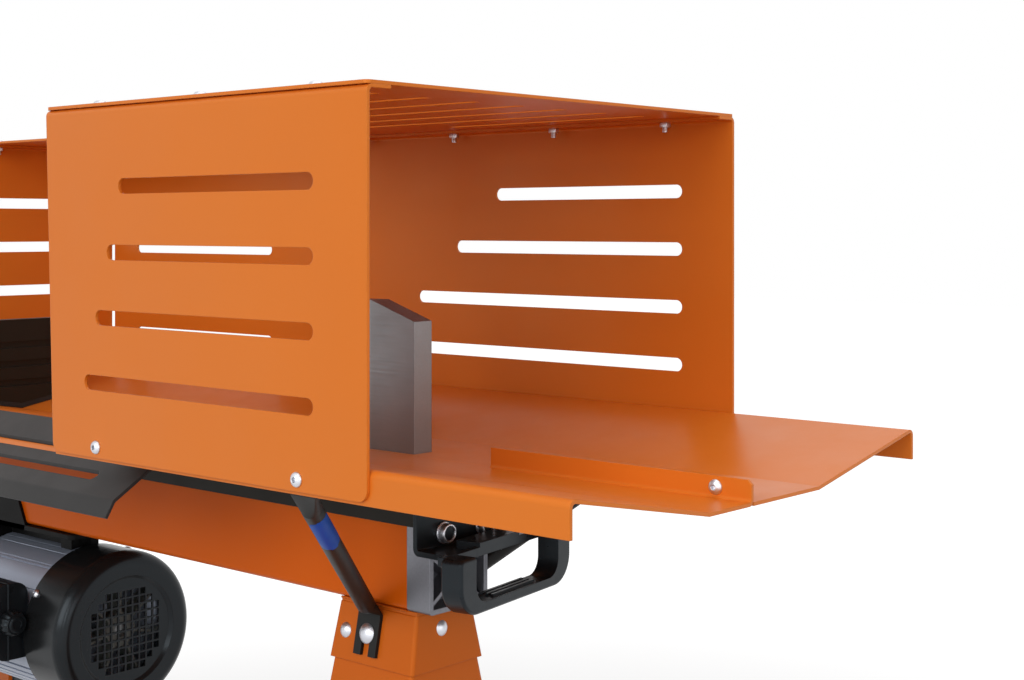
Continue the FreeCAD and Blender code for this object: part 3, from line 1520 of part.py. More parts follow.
def make_fan_cover():
    """Cup with a rounded rim, a sunk front, a grille of square holes and a vent in its far side."""
    front = cover_front_x
    rear = cover_rear_x
    outer = cover_radius
    inner = cover_radius - cover_wall
    recess = front - cover_recess_depth
    points = [(0, recess), (cover_recess_radius, recess), (cover_recess_radius + cover_recess_depth, front),
              (outer, front), (outer, rear), (inner, rear), (inner, front - cover_wall),
              (cover_recess_radius, front - cover_wall - cover_recess_depth),
              (0, recess - cover_wall)]
    points[7] = (cover_recess_radius + cover_recess_depth / 2, recess - cover_wall)
    radii = [0, 0, 0, cover_round, 0, 0, cover_round - cover_wall, 0, 0]
    cover = turned_about_motor(points, radii)
    count = math.ceil(grille_radius / grille_pitch)
    holes = []
    for row in range(-count, count):
        for column in range(-count, count):
            y = (column + 0.5) * grille_pitch
            z = (row + 0.5) * grille_pitch
            if math.hypot(abs(y) + grille_hole / 2, abs(z) + grille_hole / 2) < grille_radius:
                holes.append(block(recess - cover_wall - cut_overrun, recess + cut_overrun,
                                   y - grille_hole / 2, y + grille_hole / 2,
                                   motor_z + z - grille_hole / 2, motor_z + z + grille_hole / 2))
    vent_x = front - cover_vent_setback
    holes.append(block(vent_x - cover_vent_width, vent_x, cover_radius / 2, cover_radius + cut_overrun,
                       motor_z - cover_vent_height / 3, motor_z + cover_vent_height * 2 / 3))
    return cover.cut(group(holes))


def make_fan():
    hub_rear = cover_front_x - fan_front_gap - fan_hub_length
    hub = rod(Vector(hub_rear, 0, motor_z), Vector(1, 0, 0), fan_hub_radius, fan_hub_length)
    blades = []
    for index in range(fan_blade_count):
        blade = block(hub_rear - (fan_blade_length - fan_hub_length), hub_rear + fan_hub_length,
                      -fan_blade_thickness / 2, fan_blade_thickness / 2, motor_z + fan_hub_radius / 2,
                      motor_z + fan_tip_radius)
        blade.rotate(Vector(0, 0, motor_z), Vector(1, 0, 0), 360 * index / fan_blade_count)
        blades.append(blade)
    fan = hub.fuse(blades).removeSplitter()
    return fan.cut(rod(Vector(hub_rear - fan_blade_length, 0, motor_z), Vector(1, 0, 0), shaft_radius,
                       2 * fan_blade_length + fan_hub_length))


def make_rotor():
    """Shaft with the laminated core on it."""
    front = cover_front_x - shaft_front_gap + shaft_radius
    rear = body_rear_x + seat_gap
    shaft = rod(Vector(rear, 0, motor_z), Vector(1, 0, 0), shaft_radius, front - rear)
    core = rod(Vector(body_rear_x + rotor_rear_gap, 0, motor_z), Vector(1, 0, 0), rotor_radius, rotor_length)
    return shaft.fuse(core).removeSplitter()


def make_body_band(length):
    """Smooth stretch of the body between the fins, on the operator's side."""
    reach = 2 * body_fin_radius
    corners = [(0, motor_z)]
    for angle in (body_band_start_deg, body_band_end_deg):
        turn = math.radians(angle)
        corners.append((-reach * math.sin(turn), motor_z + reach * math.cos(turn)))
    sector = profile(corners, plane_yz(body_rear_x), Vector(length, 0, 0))
    drum = rod(Vector(body_rear_x, 0, motor_z), Vector(1, 0, 0), body_fin_radius, length)
    return drum.common(sector)


def make_motor_housing():
    """Extruded body with cooling fins and a smooth band, an end shield at the fan and a thick rear wall."""
    front = cover_rear_x + shield_length
    body = rod(Vector(body_rear_x, 0, motor_z), Vector(1, 0, 0), body_core_radius, front - body_rear_x)
    fin_length = cover_rear_x - body_rear_x
    fins = [make_body_band(fin_length)]
    for index in range(body_fin_count):
        angle = 360 * (index + 0.5) / body_fin_count
        if body_band_start_deg < angle < body_band_end_deg:
            continue
        fin = block(body_rear_x, body_rear_x + fin_length, -body_fin_width / 2, body_fin_width / 2,
                    motor_z + body_core_radius - body_fin_width, motor_z + body_fin_radius)
        fin.rotate(Vector(0, 0, motor_z), Vector(1, 0, 0), angle)
        fins.append(fin)
    shield = rod(Vector(cover_rear_x, 0, motor_z), Vector(1, 0, 0), cover_radius - cover_wall, shield_length)
    body = body.fuse(fins + [shield]).removeSplitter()
    hollow_start = body_rear_x + rotor_rear_gap / 2
    hollow = rod(Vector(hollow_start, 0, motor_z), Vector(1, 0, 0), body_bore_radius,
                 front - hollow_start - shield_length)
    bore = rod(Vector(body_rear_x - cut_overrun, 0, motor_z), Vector(1, 0, 0), shaft_radius + running_gap,
               body_length + 2 * cut_overrun)
    return body.cut(hollow).cut(bore)


def make_motor_mount():
    """Plate under the beam with sides that grip it, and two saddles on the motor's fins."""
    rear = body_rear_x
    outer = beam_half + mount_side
    plate = block(rear, mount_front_x, -outer, outer, beam_bottom - mount_plate, beam_bottom)
    side_front = mount_front_x - mount_side_setback
    points = [(rear, beam_bottom - mount_plate), (side_front, beam_bottom - mount_plate),
              (side_front - mount_slant, beam_bottom + mount_side_rise), (rear, beam_bottom + mount_side_rise)]
    sides = [profile(points, plane_xz(y), Vector(0, mount_side, 0)) for y in (-outer, beam_half)]
    saddles = []
    for x in (cover_rear_x - mount_saddle_inset - mount_saddle_width, rear + mount_saddle_inset):
        saddles.append(block(x, x + mount_saddle_width, -mount_saddle_half, mount_saddle_half, motor_z,
                             beam_bottom - mount_plate))
    mount = plate.fuse(sides + saddles).removeSplitter()
    return mount.cut(rod(Vector(rear - cut_overrun, 0, motor_z), Vector(1, 0, 0), fin_seat_radius,
                         mount_front_x - rear + 2 * cut_overrun))


def make_capacitor_box():
    """Rounded box that hugs the motor's side, with a cable gland in its outfeed end."""
    x1 = guard_end_x - capacitor_setback
    x0 = x1 - capacitor_length
    outer_y = -capacitor_inner_y - capacitor_depth
    middle_z = motor_z + capacitor_rise
    z0 = middle_z - capacitor_height / 2
    z1 = middle_z + capacitor_height / 2
    body = profile(rectangle(outer_y, -capacitor_inner_y, z0, z1), plane_yz(x0), Vector(capacitor_length, 0, 0),
                   [capacitor_corner, 0, capacitor_corner, capacitor_corner])
    gland_y = -capacitor_inner_y - capacitor_depth + gland_inset
    gland = rod(Vector(x1, gland_y, middle_z), Vector(1, 0, 0), gland_radius, gland_length)
    nut = along(hexagon(gland_nut_radius, gland_nut_length, 0), Vector(x1, gland_y, middle_z), Vector(1, 0, 0))
    web = block(x0 + capacitor_corner, x1 - capacitor_corner, -capacitor_inner_y - capacitor_depth / 2,
                -body_core_radius / 2, middle_z - capacitor_web / 2, middle_z + capacitor_web / 2)
    box = body.fuse([gland, nut, web]).removeSplitter()
    return box.cut(rod(Vector(x0 - cut_overrun, 0, motor_z), Vector(1, 0, 0), fin_seat_radius,
                       capacitor_length + 2 * cut_overrun))


# Pump and valve block, tank and pipes

def make_pump_block():
    """Casting between motor and tank, hung from the beam."""
    body = rounded_block(pump_rear_x, pump_front_x, -pump_half_y, pump_half_y, motor_z - pump_half_z,
                         motor_z + pump_half_z, pump_corner)
    flange = rod(Vector(pump_front_x, 0, motor_z), Vector(1, 0, 0), shield_radius, pump_flange_length)
    post = block(pump_rear_x + pump_corner, pump_front_x - pump_corner, -pump_post_half, pump_post_half,
                 motor_z + pump_half_z - pump_corner, beam_bottom)
    return body.fuse([flange, post]).removeSplitter()


def make_valve_block():
    """Block on the beam's side, bored for the spool, with the lever's post and pin behind it."""
    body = block(valve_rear_x, valve_front_x, valve_face_y, -beam_half, valve_low_z, valve_low_z + valve_height)
    body = body.makeFillet(valve_corner, [edge for edge in body.Edges if edge.BoundBox.YMax < valve_face_y / 2
                                          - beam_half / 2 and edge.BoundBox.YLength < valve_corner])
    post = block(pivot_x, valve_rear_x + valve_corner, valve_face_y, valve_face_y + lever_post_thickness,
                 pivot_z - lever_post_half, pivot_z + lever_post_half)
    pivot = Vector(pivot_x, valve_face_y, pivot_z)
    eye = rod(pivot, Vector(0, 1, 0), lever_post_half, lever_post_thickness)
    pin_length = lever_thickness + 2 * lever_gap
    pin = rod(pivot, Vector(0, -1, 0), lever_pin_radius, pin_length)
    head = rod(pivot - Vector(0, pin_length, 0), Vector(0, -1, 0), lever_pin_head_radius, lever_pin_head_height)
    body = body.fuse([post, eye, pin, head]).removeSplitter()
    bore = rod(Vector(valve_rear_x - cut_overrun, spool_y, spool_axis_z), Vector(1, 0, 0),
               spool_radius + running_gap, spool_depth + 2 * cut_overrun)
    return body.cut(bore)


def make_spool():
    """Spool with the cross pin that the lever moves."""
    start = pivot_x - spool_end
    body = rod(Vector(start, spool_y, spool_axis_z), Vector(1, 0, 0), spool_radius,
               valve_rear_x + spool_depth - start)
    pin = rod(Vector(pivot_x, spool_y, spool_axis_z), Vector(0, -1, 0), spool_pin_radius,
              spool_y - lever_front_y + spool_pin_proud)
    return body.fuse(pin).removeSplitter()


def make_lever():
    """Flat bar on the pivot pin, with a slot for the spool's pin and a tang for the knob."""
    shoulder_z = lever_top_z - lever_tang
    points = [(pivot_x - lever_foot_half, pivot_z - lever_foot_half),
              (pivot_x + lever_foot_half, pivot_z - lever_foot_half),
              (pivot_x + lever_foot_half, pivot_z + lever_foot_height),
              (pivot_x + lever_top_half, shoulder_z), (pivot_x + lever_top_half, lever_top_z),
              (pivot_x - lever_top_half, lever_top_z), (pivot_x - lever_top_half, shoulder_z),
              (pivot_x - lever_foot_half, pivot_z + lever_foot_height)]
    foot_round = lever_foot_half * 0.9
    bar = profile(points, plane_xz(lever_front_y), Vector(0, lever_thickness, 0),
                  [foot_round, foot_round, 0, 0, 0, 0, 0, 0])
    bar = bar.cut(plain_hole(Vector(pivot_x, lever_front_y, pivot_z), Vector(0, 1, 0),
                             lever_pin_radius + running_gap, 2 * lever_thickness))
    half_width = spool_pin_radius + spool_pin_gap
    half_height = half_width + spool_pin_slack
    window = profile(rectangle(pivot_x - half_width, pivot_x + half_width, spool_axis_z - half_height,
                               spool_axis_z + half_height),
                     plane_xz(lever_front_y - cut_overrun), Vector(0, lever_thickness + 2 * cut_overrun, 0),
                     [spool_pin_radius] * 4)
    return bar.cut(window)


def make_knob():
    """Ball knob pressed on the lever's tang."""
    middle_y = (lever_front_y + lever_back_y) / 2
    ball = Part.makeSphere(knob_radius, Vector(pivot_x, middle_y, lever_top_z))
    seat = block(pivot_x - lever_top_half, pivot_x + lever_top_half, lever_front_y, lever_back_y,
                 lever_top_z - knob_radius - cut_overrun, lever_top_z)
    return ball.cut(seat)


def pipe(points):
    """Hollow pipe along a route of straight runs with equal bends and a union nut at each end."""
    edges = []
    start = points[0]
    for index in range(1, len(points) - 1):
        corner = points[index]
        back = (points[index - 1] - corner).normalize()
        onward = (points[index + 1] - corner).normalize()
        turn_in = corner + back * pipe_bend
        turn_out = corner + onward * pipe_bend
        centre = turn_in + onward * pipe_bend
        crown = centre + (corner - centre).normalize() * pipe_bend
        edges.append(Part.LineSegment(start, turn_in).toShape())
        edges.append(Part.Arc(turn_in, crown, turn_out).toShape())
        start = turn_out
    edges.append(Part.LineSegment(start, points[-1]).toShape())
    route = Part.Wire(edges)
    first = (points[1] - points[0]).normalize()
    last = (points[-2] - points[-1]).normalize()
    ring = Part.Wire([Part.Circle(points[0], first, pipe_radius).toShape()])
    hollow = Part.Wire([Part.Circle(points[0], first, pipe_bore).toShape()])
    tube = route.makePipeShell([ring], True, False)
    nuts = [along(hexagon(pipe_nut_radius, pipe_nut_length, 0), points[0], first),
            along(hexagon(pipe_nut_radius, pipe_nut_length, 0), points[-1], last)]
    return tube.fuse(nuts).cut(route.makePipeShell([hollow], True, False))


def make_pipes():
    valve_top = valve_low_z + valve_height
    supply_x = pump_front_x - supply_pipe_inset
    supply_z = valve_low_z + supply_pipe_rise
    supply = pipe([Vector(supply_x, -supply_pipe_y, motor_z + pump_half_z), Vector(supply_x, -supply_pipe_y, supply_z),
                   Vector(valve_front_x, -supply_pipe_y, supply_z)])
    pressure_x = valve_front_x - pressure_pipe_inset
    port_x = cap_rear_x + head_length / 2
    pressure = pipe([Vector(pressure_x, spool_y, valve_top), Vector(pressure_x, spool_y, cylinder_z),
                     Vector(port_x, spool_y, cylinder_z), Vector(port_x, -head_half, cylinder_z)])
    return_x = valve_front_x - return_pipe_inset
    drain = pipe([Vector(return_x, spool_y, tank_top_z), Vector(return_x, spool_y, valve_low_z)])
    return group([supply, pressure, drain])


def make_oil_tank():
    body = rounded_block(tank_rear_x, tank_front_x, -tank_half_y, tank_half_y, tank_top_z - tank_drop, tank_top_z,
                         tank_corner)
    middle = (tank_rear_x + tank_front_x) / 2
    cutters = []
    for index in range(tank_rib_count):
        x = middle + (index - (tank_rib_count - 1) / 2) * tank_rib_pitch
        for y in (-tank_half_y - cut_overrun, tank_half_y - tank_rib_depth):
            cutters.append(block(x, x + tank_rib_width, y, y + tank_rib_depth + cut_overrun,
                                 tank_top_z - tank_drop + tank_corner, tank_top_z - tank_corner))
    inside = block(tank_rear_x + tank_wall, tank_front_x - tank_wall, -tank_half_y + tank_wall,
                   tank_half_y - tank_wall, tank_top_z - tank_drop + tank_wall, tank_top_z - tank_wall)
    body = body.cut(group(cutters)).cut(inside)
    for place in plug_places():
        body = body.cut(rod(place, Vector(0, 0, -1), plug_neck_radius + hole_clearance, plug_neck + cut_overrun))
    return body


def plug_places():
    """Dipstick and bleed screw stand on the tank beside the beam."""
    middle = (tank_rear_x + tank_front_x) / 2
    y = (beam_half + tank_half_y) / 2
    return [Vector(middle + sign * plug_spread / 2, y, tank_top_z) for sign in (-1, 1)]


def make_tank_plugs():
    plug = pan_screw(plug_radius, plug_height, plug_neck_radius, plug_neck)
    return group([along(plug, place, Vector(0, 0, 1)) for place in plug_places()])


# Switch box, buttons and power inlet

def button_places():
    z = switch_top_z - switch_height / 2 + button_rise
    middle = switch_x - switch_length / 2
    return [Vector(middle + sign * button_spacing / 2, switch_face_y - button_collar_depth, z) for sign in (-1, 1)]


def make_switch_box():
    z0 = switch_top_z - switch_height
    box = profile(rectangle(switch_x - switch_length, switch_x, z0, switch_top_z), plane_xz(switch_face_y),
                  Vector(0, switch_depth, 0), [switch_corner] * 4)
    collars = []
    bores = []
    depth = button_length + button_travel + button_gap
    for place in button_places():
        collars.append(rod(place, Vector(0, 1, 0), button_collar_radius, button_collar_depth))
        bores.append(rod(place - Vector(0, cut_overrun, 0), Vector(0, 1, 0), button_radius + button_gap,
                         depth + cut_overrun))
    return box.fuse(collars).removeSplitter().cut(group(bores))


def make_button(index):
    """Push button standing proud of its collar, with a rounded rim."""
    place = button_places()[index] - Vector(0, button_proud, 0)
    body = rod(place, Vector(0, 1, 0), button_radius, button_length)
    rim = [edge for edge in body.Edges if edge.BoundBox.YMax < place.y + button_proud / 2]
    return body.makeFillet(button_gap * 4, rim)


def make_inlet():
    """Round inlet under the switch box, open downwards, with its contact pins."""
    start = Vector(switch_x - switch_length / 2, switch_face_y + switch_depth / 2, switch_top_z - switch_height)
    down = Vector(0, 0, -1)
    body = rod(start, down, inlet_radius, inlet_length)
    inside = start + down * inlet_wall
    body = body.cut(rod(inside, down, inlet_radius - inlet_wall, inlet_length))
    pins = []
    for index in range(inlet_pin_count):
        angle = 2 * math.pi * index / inlet_pin_count
        offset = Vector(inlet_pin_circle * math.cos(angle), inlet_pin_circle * math.sin(angle), 0)
        pins.append(rod(start + offset, down, inlet_pin_radius, inlet_wall + inlet_pin_length))
    return body.fuse(pins).removeSplitter()


nodes = {
    "beam": make_beam,
    "beam_end_cap": make_end_cap,
    "cross_bracket": make_cross_bracket,
    "cross_bracket_bolts": make_bracket_bolts,
    "carrying_handle": make_handle,
    "side_rails": make_side_rails,
    "wedge_base_plate": make_wedge_base,
    "wedge_base_screws": make_wedge_screws,
    "splitting_wedge": make_wedge,
    "outfeed_tray_near": make_tray_near,
    "outfeed_tray_far": make_tray_far,
    "loading_trough": make_trough,
    "loading_apron": make_apron,
    "guard_near_panel": make_guard_near,
    "guard_far_right_panel": make_guard_far_right,
    "guard_far_left_panel": make_guard_far_left,
    "guard_end_wall": make_end_wall,
    "guard_top_plate": make_top_plate,
    "guard_top_strip": make_top_strip,
    "end_wall_cleats": make_cleats,
    "guard_bolts": make_guard_bolts,
    "pan_head_screws": make_pan_screws,
    "front_leg_bracket": make_leg_bracket,
    "front_leg_lower": make_lower_leg,
    "front_leg_bolts": make_leg_bolts,
    "front_foot_plate": make_foot_plate,
    "tray_struts": make_struts,
    "rear_stand": make_rear_stand,
    "wheel_axle": make_axle,
    "wheel_near_rim": lambda: make_rim(-1),
    "wheel_far_rim": lambda: make_rim(1),
    "wheel_near_tyre": lambda: make_tyre(-1),
    "wheel_far_tyre": lambda: make_tyre(1),
    "cylinder_tube": make_cylinder_tube,
    "cylinder_head_block": lambda: end_block(tube_front_x, head_length, rod_radius + running_gap),
    "cylinder_rear_cap": lambda: end_block(cap_rear_x, head_length, 0),
    "cylinder_tie_rods": make_tie_rods,
    "piston": make_piston,
    "piston_rod": make_piston_rod,
    "pusher": make_pusher,
    "pusher_shoe": make_pusher_shoe,
    "motor_fan_cover": make_fan_cover,
    "cooling_fan": make_fan,
    "rotor_shaft": make_rotor,
    "motor_housing": make_motor_housing,
    "motor_mount": make_motor_mount,
    "capacitor_box": make_capacitor_box,
    "pump_valve_block": make_pump_block,
    "oil_tank": make_oil_tank,
    "tank_plugs": make_tank_plugs,
    "valve_block": make_valve_block,
    "valve_spool": make_spool,
    "control_lever": make_lever,
    "lever_knob": make_knob,
    "hydraulic_pipes": make_pipes,
    "switch_box": make_switch_box,
    "start_button": lambda: make_button(1),
    "stop_button": lambda: make_button(0),
    "power_inlet": make_inlet,
}

os.makedirs("parts", exist_ok=True)
for name, make in nodes.items():
    shape = make()
    shape.exportStep("parts/" + name + ".step")
    print(name, len(shape.Solids), round(shape.Volume), shape.isValid())
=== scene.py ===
import bpy
import bmesh
import json
import math
from mathutils import Vector, Matrix


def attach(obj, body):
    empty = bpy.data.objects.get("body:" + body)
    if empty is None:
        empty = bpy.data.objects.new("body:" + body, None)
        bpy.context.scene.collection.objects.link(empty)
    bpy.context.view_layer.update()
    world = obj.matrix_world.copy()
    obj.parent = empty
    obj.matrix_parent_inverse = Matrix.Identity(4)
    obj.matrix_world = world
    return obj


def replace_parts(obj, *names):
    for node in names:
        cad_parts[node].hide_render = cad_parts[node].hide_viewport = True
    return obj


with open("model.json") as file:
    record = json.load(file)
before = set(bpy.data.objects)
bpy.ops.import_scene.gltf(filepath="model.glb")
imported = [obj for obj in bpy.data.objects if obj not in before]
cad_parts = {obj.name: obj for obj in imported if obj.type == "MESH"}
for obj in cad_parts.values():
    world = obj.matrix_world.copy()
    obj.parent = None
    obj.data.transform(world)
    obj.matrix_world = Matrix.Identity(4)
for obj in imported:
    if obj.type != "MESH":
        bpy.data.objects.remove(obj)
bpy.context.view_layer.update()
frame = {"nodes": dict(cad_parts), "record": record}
NODES = frame["nodes"]
TAU = 2 * math.pi


# Material values: noise scales in features per metre, bump heights in metres

DRIFT_SCALE = 2.6
SPECK_SCALE = 900.0
SMEAR_SCALE = 14.0
PEEL_SCALE = 700.0
PEEL_HEIGHT = 0.0002
TONE_SCALE = 9.0
SHEEN_SCALE = 60.0
GRAIN_SCALE = 1600.0
GRAIN_HEIGHT = 0.00015
BLOTCH_SCALE = 8.0
METAL_HEIGHT = 0.0002
BEVEL_SAMPLES = 6


# Material helpers

def new_material(name):
    mat = bpy.data.materials.new(name)
    mat.use_nodes = True
    nt = mat.node_tree
    return mat, nt, nt.nodes["Principled BSDF"]


def coords(nt, scale=(1, 1, 1)):
    tex = nt.nodes.new("ShaderNodeTexCoord")
    mapping = nt.nodes.new("ShaderNodeMapping")
    mapping.inputs["Scale"].default_value = scale
    nt.links.new(tex.outputs["Object"], mapping.inputs["Vector"])
    return mapping.outputs["Vector"]


def mapped(nt, source, low, high, a=0.0, b=1.0):
    """Maps a value between a and b to low and high."""
    m = nt.nodes.new("ShaderNodeMapRange")
    m.inputs["From Min"].default_value = a
    m.inputs["From Max"].default_value = b
    m.inputs["To Min"].default_value = low
    m.inputs["To Max"].default_value = high
    nt.links.new(source, m.inputs["Value"])
    return m.outputs["Result"]


def noise(nt, vec, scale, detail=3.0, rough=0.5):
    n = nt.nodes.new("ShaderNodeTexNoise")
    n.inputs["Scale"].default_value = scale
    n.inputs["Detail"].default_value = detail
    n.inputs["Roughness"].default_value = rough
    nt.links.new(vec, n.inputs["Vector"])
    return n.outputs["Fac"]


def mix_colour(nt, factor, a, b):
    """Mixes two colours, each given as three numbers or as a socket's output."""
    m = nt.nodes.new("ShaderNodeMix")
    m.data_type = "RGBA"
    nt.links.new(factor, m.inputs[0])
    for sock, value in ((m.inputs[6], a), (m.inputs[7], b)):
        if isinstance(value, bpy.types.NodeSocket):
            nt.links.new(value, sock)
        else:
            sock.default_value = (*value, 1)
    return m.outputs[2]


def bump(nt, bsdf, height, strength, distance, edge=0.0):
    """Surface relief over edges that are rounded for the light only."""
    b = nt.nodes.new("ShaderNodeBump")
    b.inputs["Strength"].default_value = strength
    b.inputs["Distance"].default_value = distance
    nt.links.new(height, b.inputs["Height"])
    if edge:
        bevel = nt.nodes.new("ShaderNodeBevel")
        bevel.samples = BEVEL_SAMPLES
        bevel.inputs["Radius"].default_value = edge
        nt.links.new(bevel.outputs["Normal"], b.inputs["Normal"])
    nt.links.new(b.outputs["Normal"], bsdf.inputs["Normal"])


def shine(bsdf, level, tint=(1, 1, 1)):
    bsdf.inputs["Specular IOR Level"].default_value = level
    bsdf.inputs["Specular Tint"].default_value = (*tint, 1)


def paint(name, light, dark, rough, peel=0.18, edge=0.0009, specks=0.0, level=0.2, tint=(1, 1, 1)):
    """Sprayed or powder coated metal: slow colour drift, orange peel, uneven gloss and, if asked, dust."""
    mat, nt, bsdf = new_material(name)
    vec = coords(nt)
    drift = noise(nt, vec, DRIFT_SCALE, 4.0)
    col = mix_colour(nt, mapped(nt, drift, 0, 1, 0.35, 0.65), light, dark)
    if specks:
        dots = noise(nt, vec, SPECK_SCALE, 1.0)
        dust = [min(1, 2.2 * c + 0.02) for c in light]
        col = mix_colour(nt, mapped(nt, dots, 0, specks, 0.68, 0.74), col, dust)
    nt.links.new(col, bsdf.inputs["Base Color"])
    smear = noise(nt, vec, SMEAR_SCALE, 5.0, 0.6)
    nt.links.new(mapped(nt, smear, rough[0], rough[1], 0.3, 0.7), bsdf.inputs["Roughness"])
    bump(nt, bsdf, noise(nt, vec, PEEL_SCALE, 2.0), peel, PEEL_HEIGHT, edge)
    shine(bsdf, level, tint)
    return mat


def moulded(name, colour, rough, grain=0.35, edge=0.0008, tone=0.6, level=0.25, tint=(1, 1, 1)):
    """Injection moulded plastic with a fine eroded grain; tone is the darker patches' share of the colour."""
    mat, nt, bsdf = new_material(name)
    vec = coords(nt)
    patch = mapped(nt, noise(nt, vec, TONE_SCALE, 4.0), 0, 1, 0.3, 0.7)
    nt.links.new(mix_colour(nt, patch, colour, [c * tone for c in colour]), bsdf.inputs["Base Color"])
    sheen = mapped(nt, noise(nt, vec, SHEEN_SCALE, 3.0), rough[0], rough[1], 0.3, 0.7)
    nt.links.new(sheen, bsdf.inputs["Roughness"])
    bump(nt, bsdf, noise(nt, vec, GRAIN_SCALE, 2.0), grain, GRAIN_HEIGHT, edge)
    shine(bsdf, level, tint)
    return mat


def metal(name, light, dark, rough, stretch=(1, 1, 1), scale=220.0, depth=0.15, edge=0.0005, pure=1.0):
    """Bare or plated metal with a drawn or blasted surface."""
    mat, nt, bsdf = new_material(name)
    grain = noise(nt, coords(nt, stretch), scale, 4.0, 0.6)
    patch = noise(nt, coords(nt), BLOTCH_SCALE, 4.0)
    nt.links.new(mix_colour(nt, mapped(nt, patch, 0, 1, 0.3, 0.7), light, dark), bsdf.inputs["Base Color"])
    bsdf.inputs["Metallic"].default_value = pure
    nt.links.new(mapped(nt, grain, rough[0], rough[1], 0.3, 0.7), bsdf.inputs["Roughness"])
    bump(nt, bsdf, grain, depth, METAL_HEIGHT, edge)
    return mat


# Materials: the record's slots first, then looks of single pieces, among them lit and shaded copies of the
# orange paint

ORANGE_EDGE = 0.0011
ORANGE_PEEL = 0.14
MAT = {
    # The guard's and tray's orange: part of the sheen seen on the guard is painted into this colour, lighter
    # and yellower than the paint itself
    "orange_paint": paint("powder_orange_painted_sheen", (0.685, 0.165, 0.015), (0.66, 0.154, 0.013), (0.30, 0.40),
                          ORANGE_PEEL, ORANGE_EDGE, level=0.42, tint=(1.0, 0.93, 0.45)),
    "black_paint": paint("satin_black", (0.0095, 0.0105, 0.012), (0.007, 0.008, 0.009), (0.26, 0.38),
                         tint=(0.70, 0.88, 1.0)),
    "grey_paint": paint("apron_grey", (0.030, 0.0285, 0.028), (0.023, 0.022, 0.0215), (0.40, 0.52), 0.3,
                        specks=0.2, level=0.22),
    "cast_aluminium": metal("cast_aluminium", (0.235, 0.238, 0.262), (0.17, 0.172, 0.19), (0.45, 0.6),
                            scale=420.0, depth=0.5, edge=0.0012),
    "black_plastic": moulded("moulded_black", (0.011, 0.0122, 0.014), (0.26, 0.38), tint=(0.72, 0.88, 1.0)),
    "red_plastic": moulded("button_red", (0.52, 0.014, 0.010), (0.22, 0.3), 0.1),
    "green_plastic": moulded("button_green", (0.012, 0.26, 0.05), (0.22, 0.3), 0.1),
    "zinc_steel": metal("zinc_plate", (0.70, 0.715, 0.76), (0.58, 0.595, 0.64), (0.34, 0.46), depth=0.08),
    "bare_steel": metal("ground_steel", (0.30, 0.30, 0.305), (0.22, 0.22, 0.225), (0.32, 0.48),
                        stretch=(0.05, 1, 1), scale=500.0, depth=0.25),
    "chrome_steel": metal("hard_chrome", (0.80, 0.81, 0.83), (0.74, 0.75, 0.77), (0.05, 0.10),
                          stretch=(1, 0.1, 0.1), scale=300.0, depth=0.02),
    "wear_plastic": moulded("wear_strip", (0.020, 0.020, 0.019), (0.4, 0.55), 0.2, tone=0.85),
    "tyre_rubber": moulded("tyre_rubber", (0.022, 0.022, 0.022), (0.62, 0.78), 0.6, tone=0.75),
    # Copy of the same orange for the beam: deeper and less glossy, painted shade for the tray's shadow over
    # it
    "beam_orange_painted_shade": paint("beam_orange_painted_shade", (0.72, 0.122, 0.004), (0.69, 0.114, 0.0035), (0.32, 0.42),
                          ORANGE_PEEL, ORANGE_EDGE, level=0.16, tint=(1.0, 0.7, 0.3)),
    # Copy of the same orange for the leg pieces and their welds: darker, painted shade
    "leg_orange_painted_shade": paint("leg_orange_painted_shade", (0.60, 0.122, 0.009), (0.57, 0.114, 0.008), (0.30, 0.40),
                        ORANGE_PEEL, ORANGE_EDGE, level=0.24, tint=(1.0, 0.8, 0.4)),
    "mount_black": paint("mount_black", (0.006, 0.006, 0.006), (0.004, 0.004, 0.004), (0.42, 0.55),
                         level=0.10),
    "rail_black": paint("rail_black", (0.0080, 0.0070, 0.0055), (0.0060, 0.0052, 0.0042), (0.38, 0.50),
                        level=0.15, tint=(1.0, 0.92, 0.8)),
    "pusher_black": paint("pusher_black", (0.0125, 0.0115, 0.0085), (0.0095, 0.0085, 0.0065), (0.34, 0.46),
                          level=0.24, tint=(1.0, 0.95, 0.8)),
    "strut_black": paint("strut_black", (0.010, 0.010, 0.0095), (0.008, 0.008, 0.0075), (0.40, 0.52)),
    "cover_black": paint("cover_black", (0.0105, 0.0108, 0.0112), (0.0082, 0.0084, 0.0088), (0.20, 0.28),
                         0.05, 0.0012, level=0.26, tint=(0.78, 0.90, 1.0)),
    "motor_grey": metal("motor_silver", (0.36, 0.405, 0.50), (0.32, 0.36, 0.45), (0.30, 0.36),
                        stretch=(0.06, 1, 1), scale=120.0, depth=0.015, edge=0.0004, pure=0.38),
    "fan_grey": moulded("fan_grey", (0.20, 0.205, 0.19), (0.35, 0.5), 0.2),
    "mark_white": moulded("mark_white", (0.62, 0.62, 0.60), (0.35, 0.5), 0.1, 0.0, 0.9),
    "sticker_blue": moulded("plain_blue_film", (0.014, 0.095, 0.50), (0.36, 0.46), 0.05, 0.0002, 0.9, 0.08),
}

# Pieces that take a look of their own; the beam and the leg pieces take the painted-shade copies of the
# orange
OWN_LOOK = {
    "beam": "beam_orange_painted_shade",
    "front_leg_bracket": "leg_orange_painted_shade",
    "front_leg_lower": "leg_orange_painted_shade",
    "front_foot_plate": "leg_orange_painted_shade",
    "rear_stand": "leg_orange_painted_shade",
    "side_rails": "rail_black",
    "tray_struts": "strut_black",
    "pusher": "pusher_black",
    "motor_fan_cover": "cover_black",
    "cooling_fan": "fan_grey",
}


def dress_cad():
    for sub in frame["record"]["subparts"]:
        obj = NODES[sub["node"]]
        mat = MAT[OWN_LOOK.get(sub["node"], sub["material_slot"])]
        if not obj.material_slots:
            obj.data.materials.append(mat)
        for slot in obj.material_slots:
            slot.material = mat


dress_cad()


# Mesh helpers

WELD_DISTANCE = 1e-6


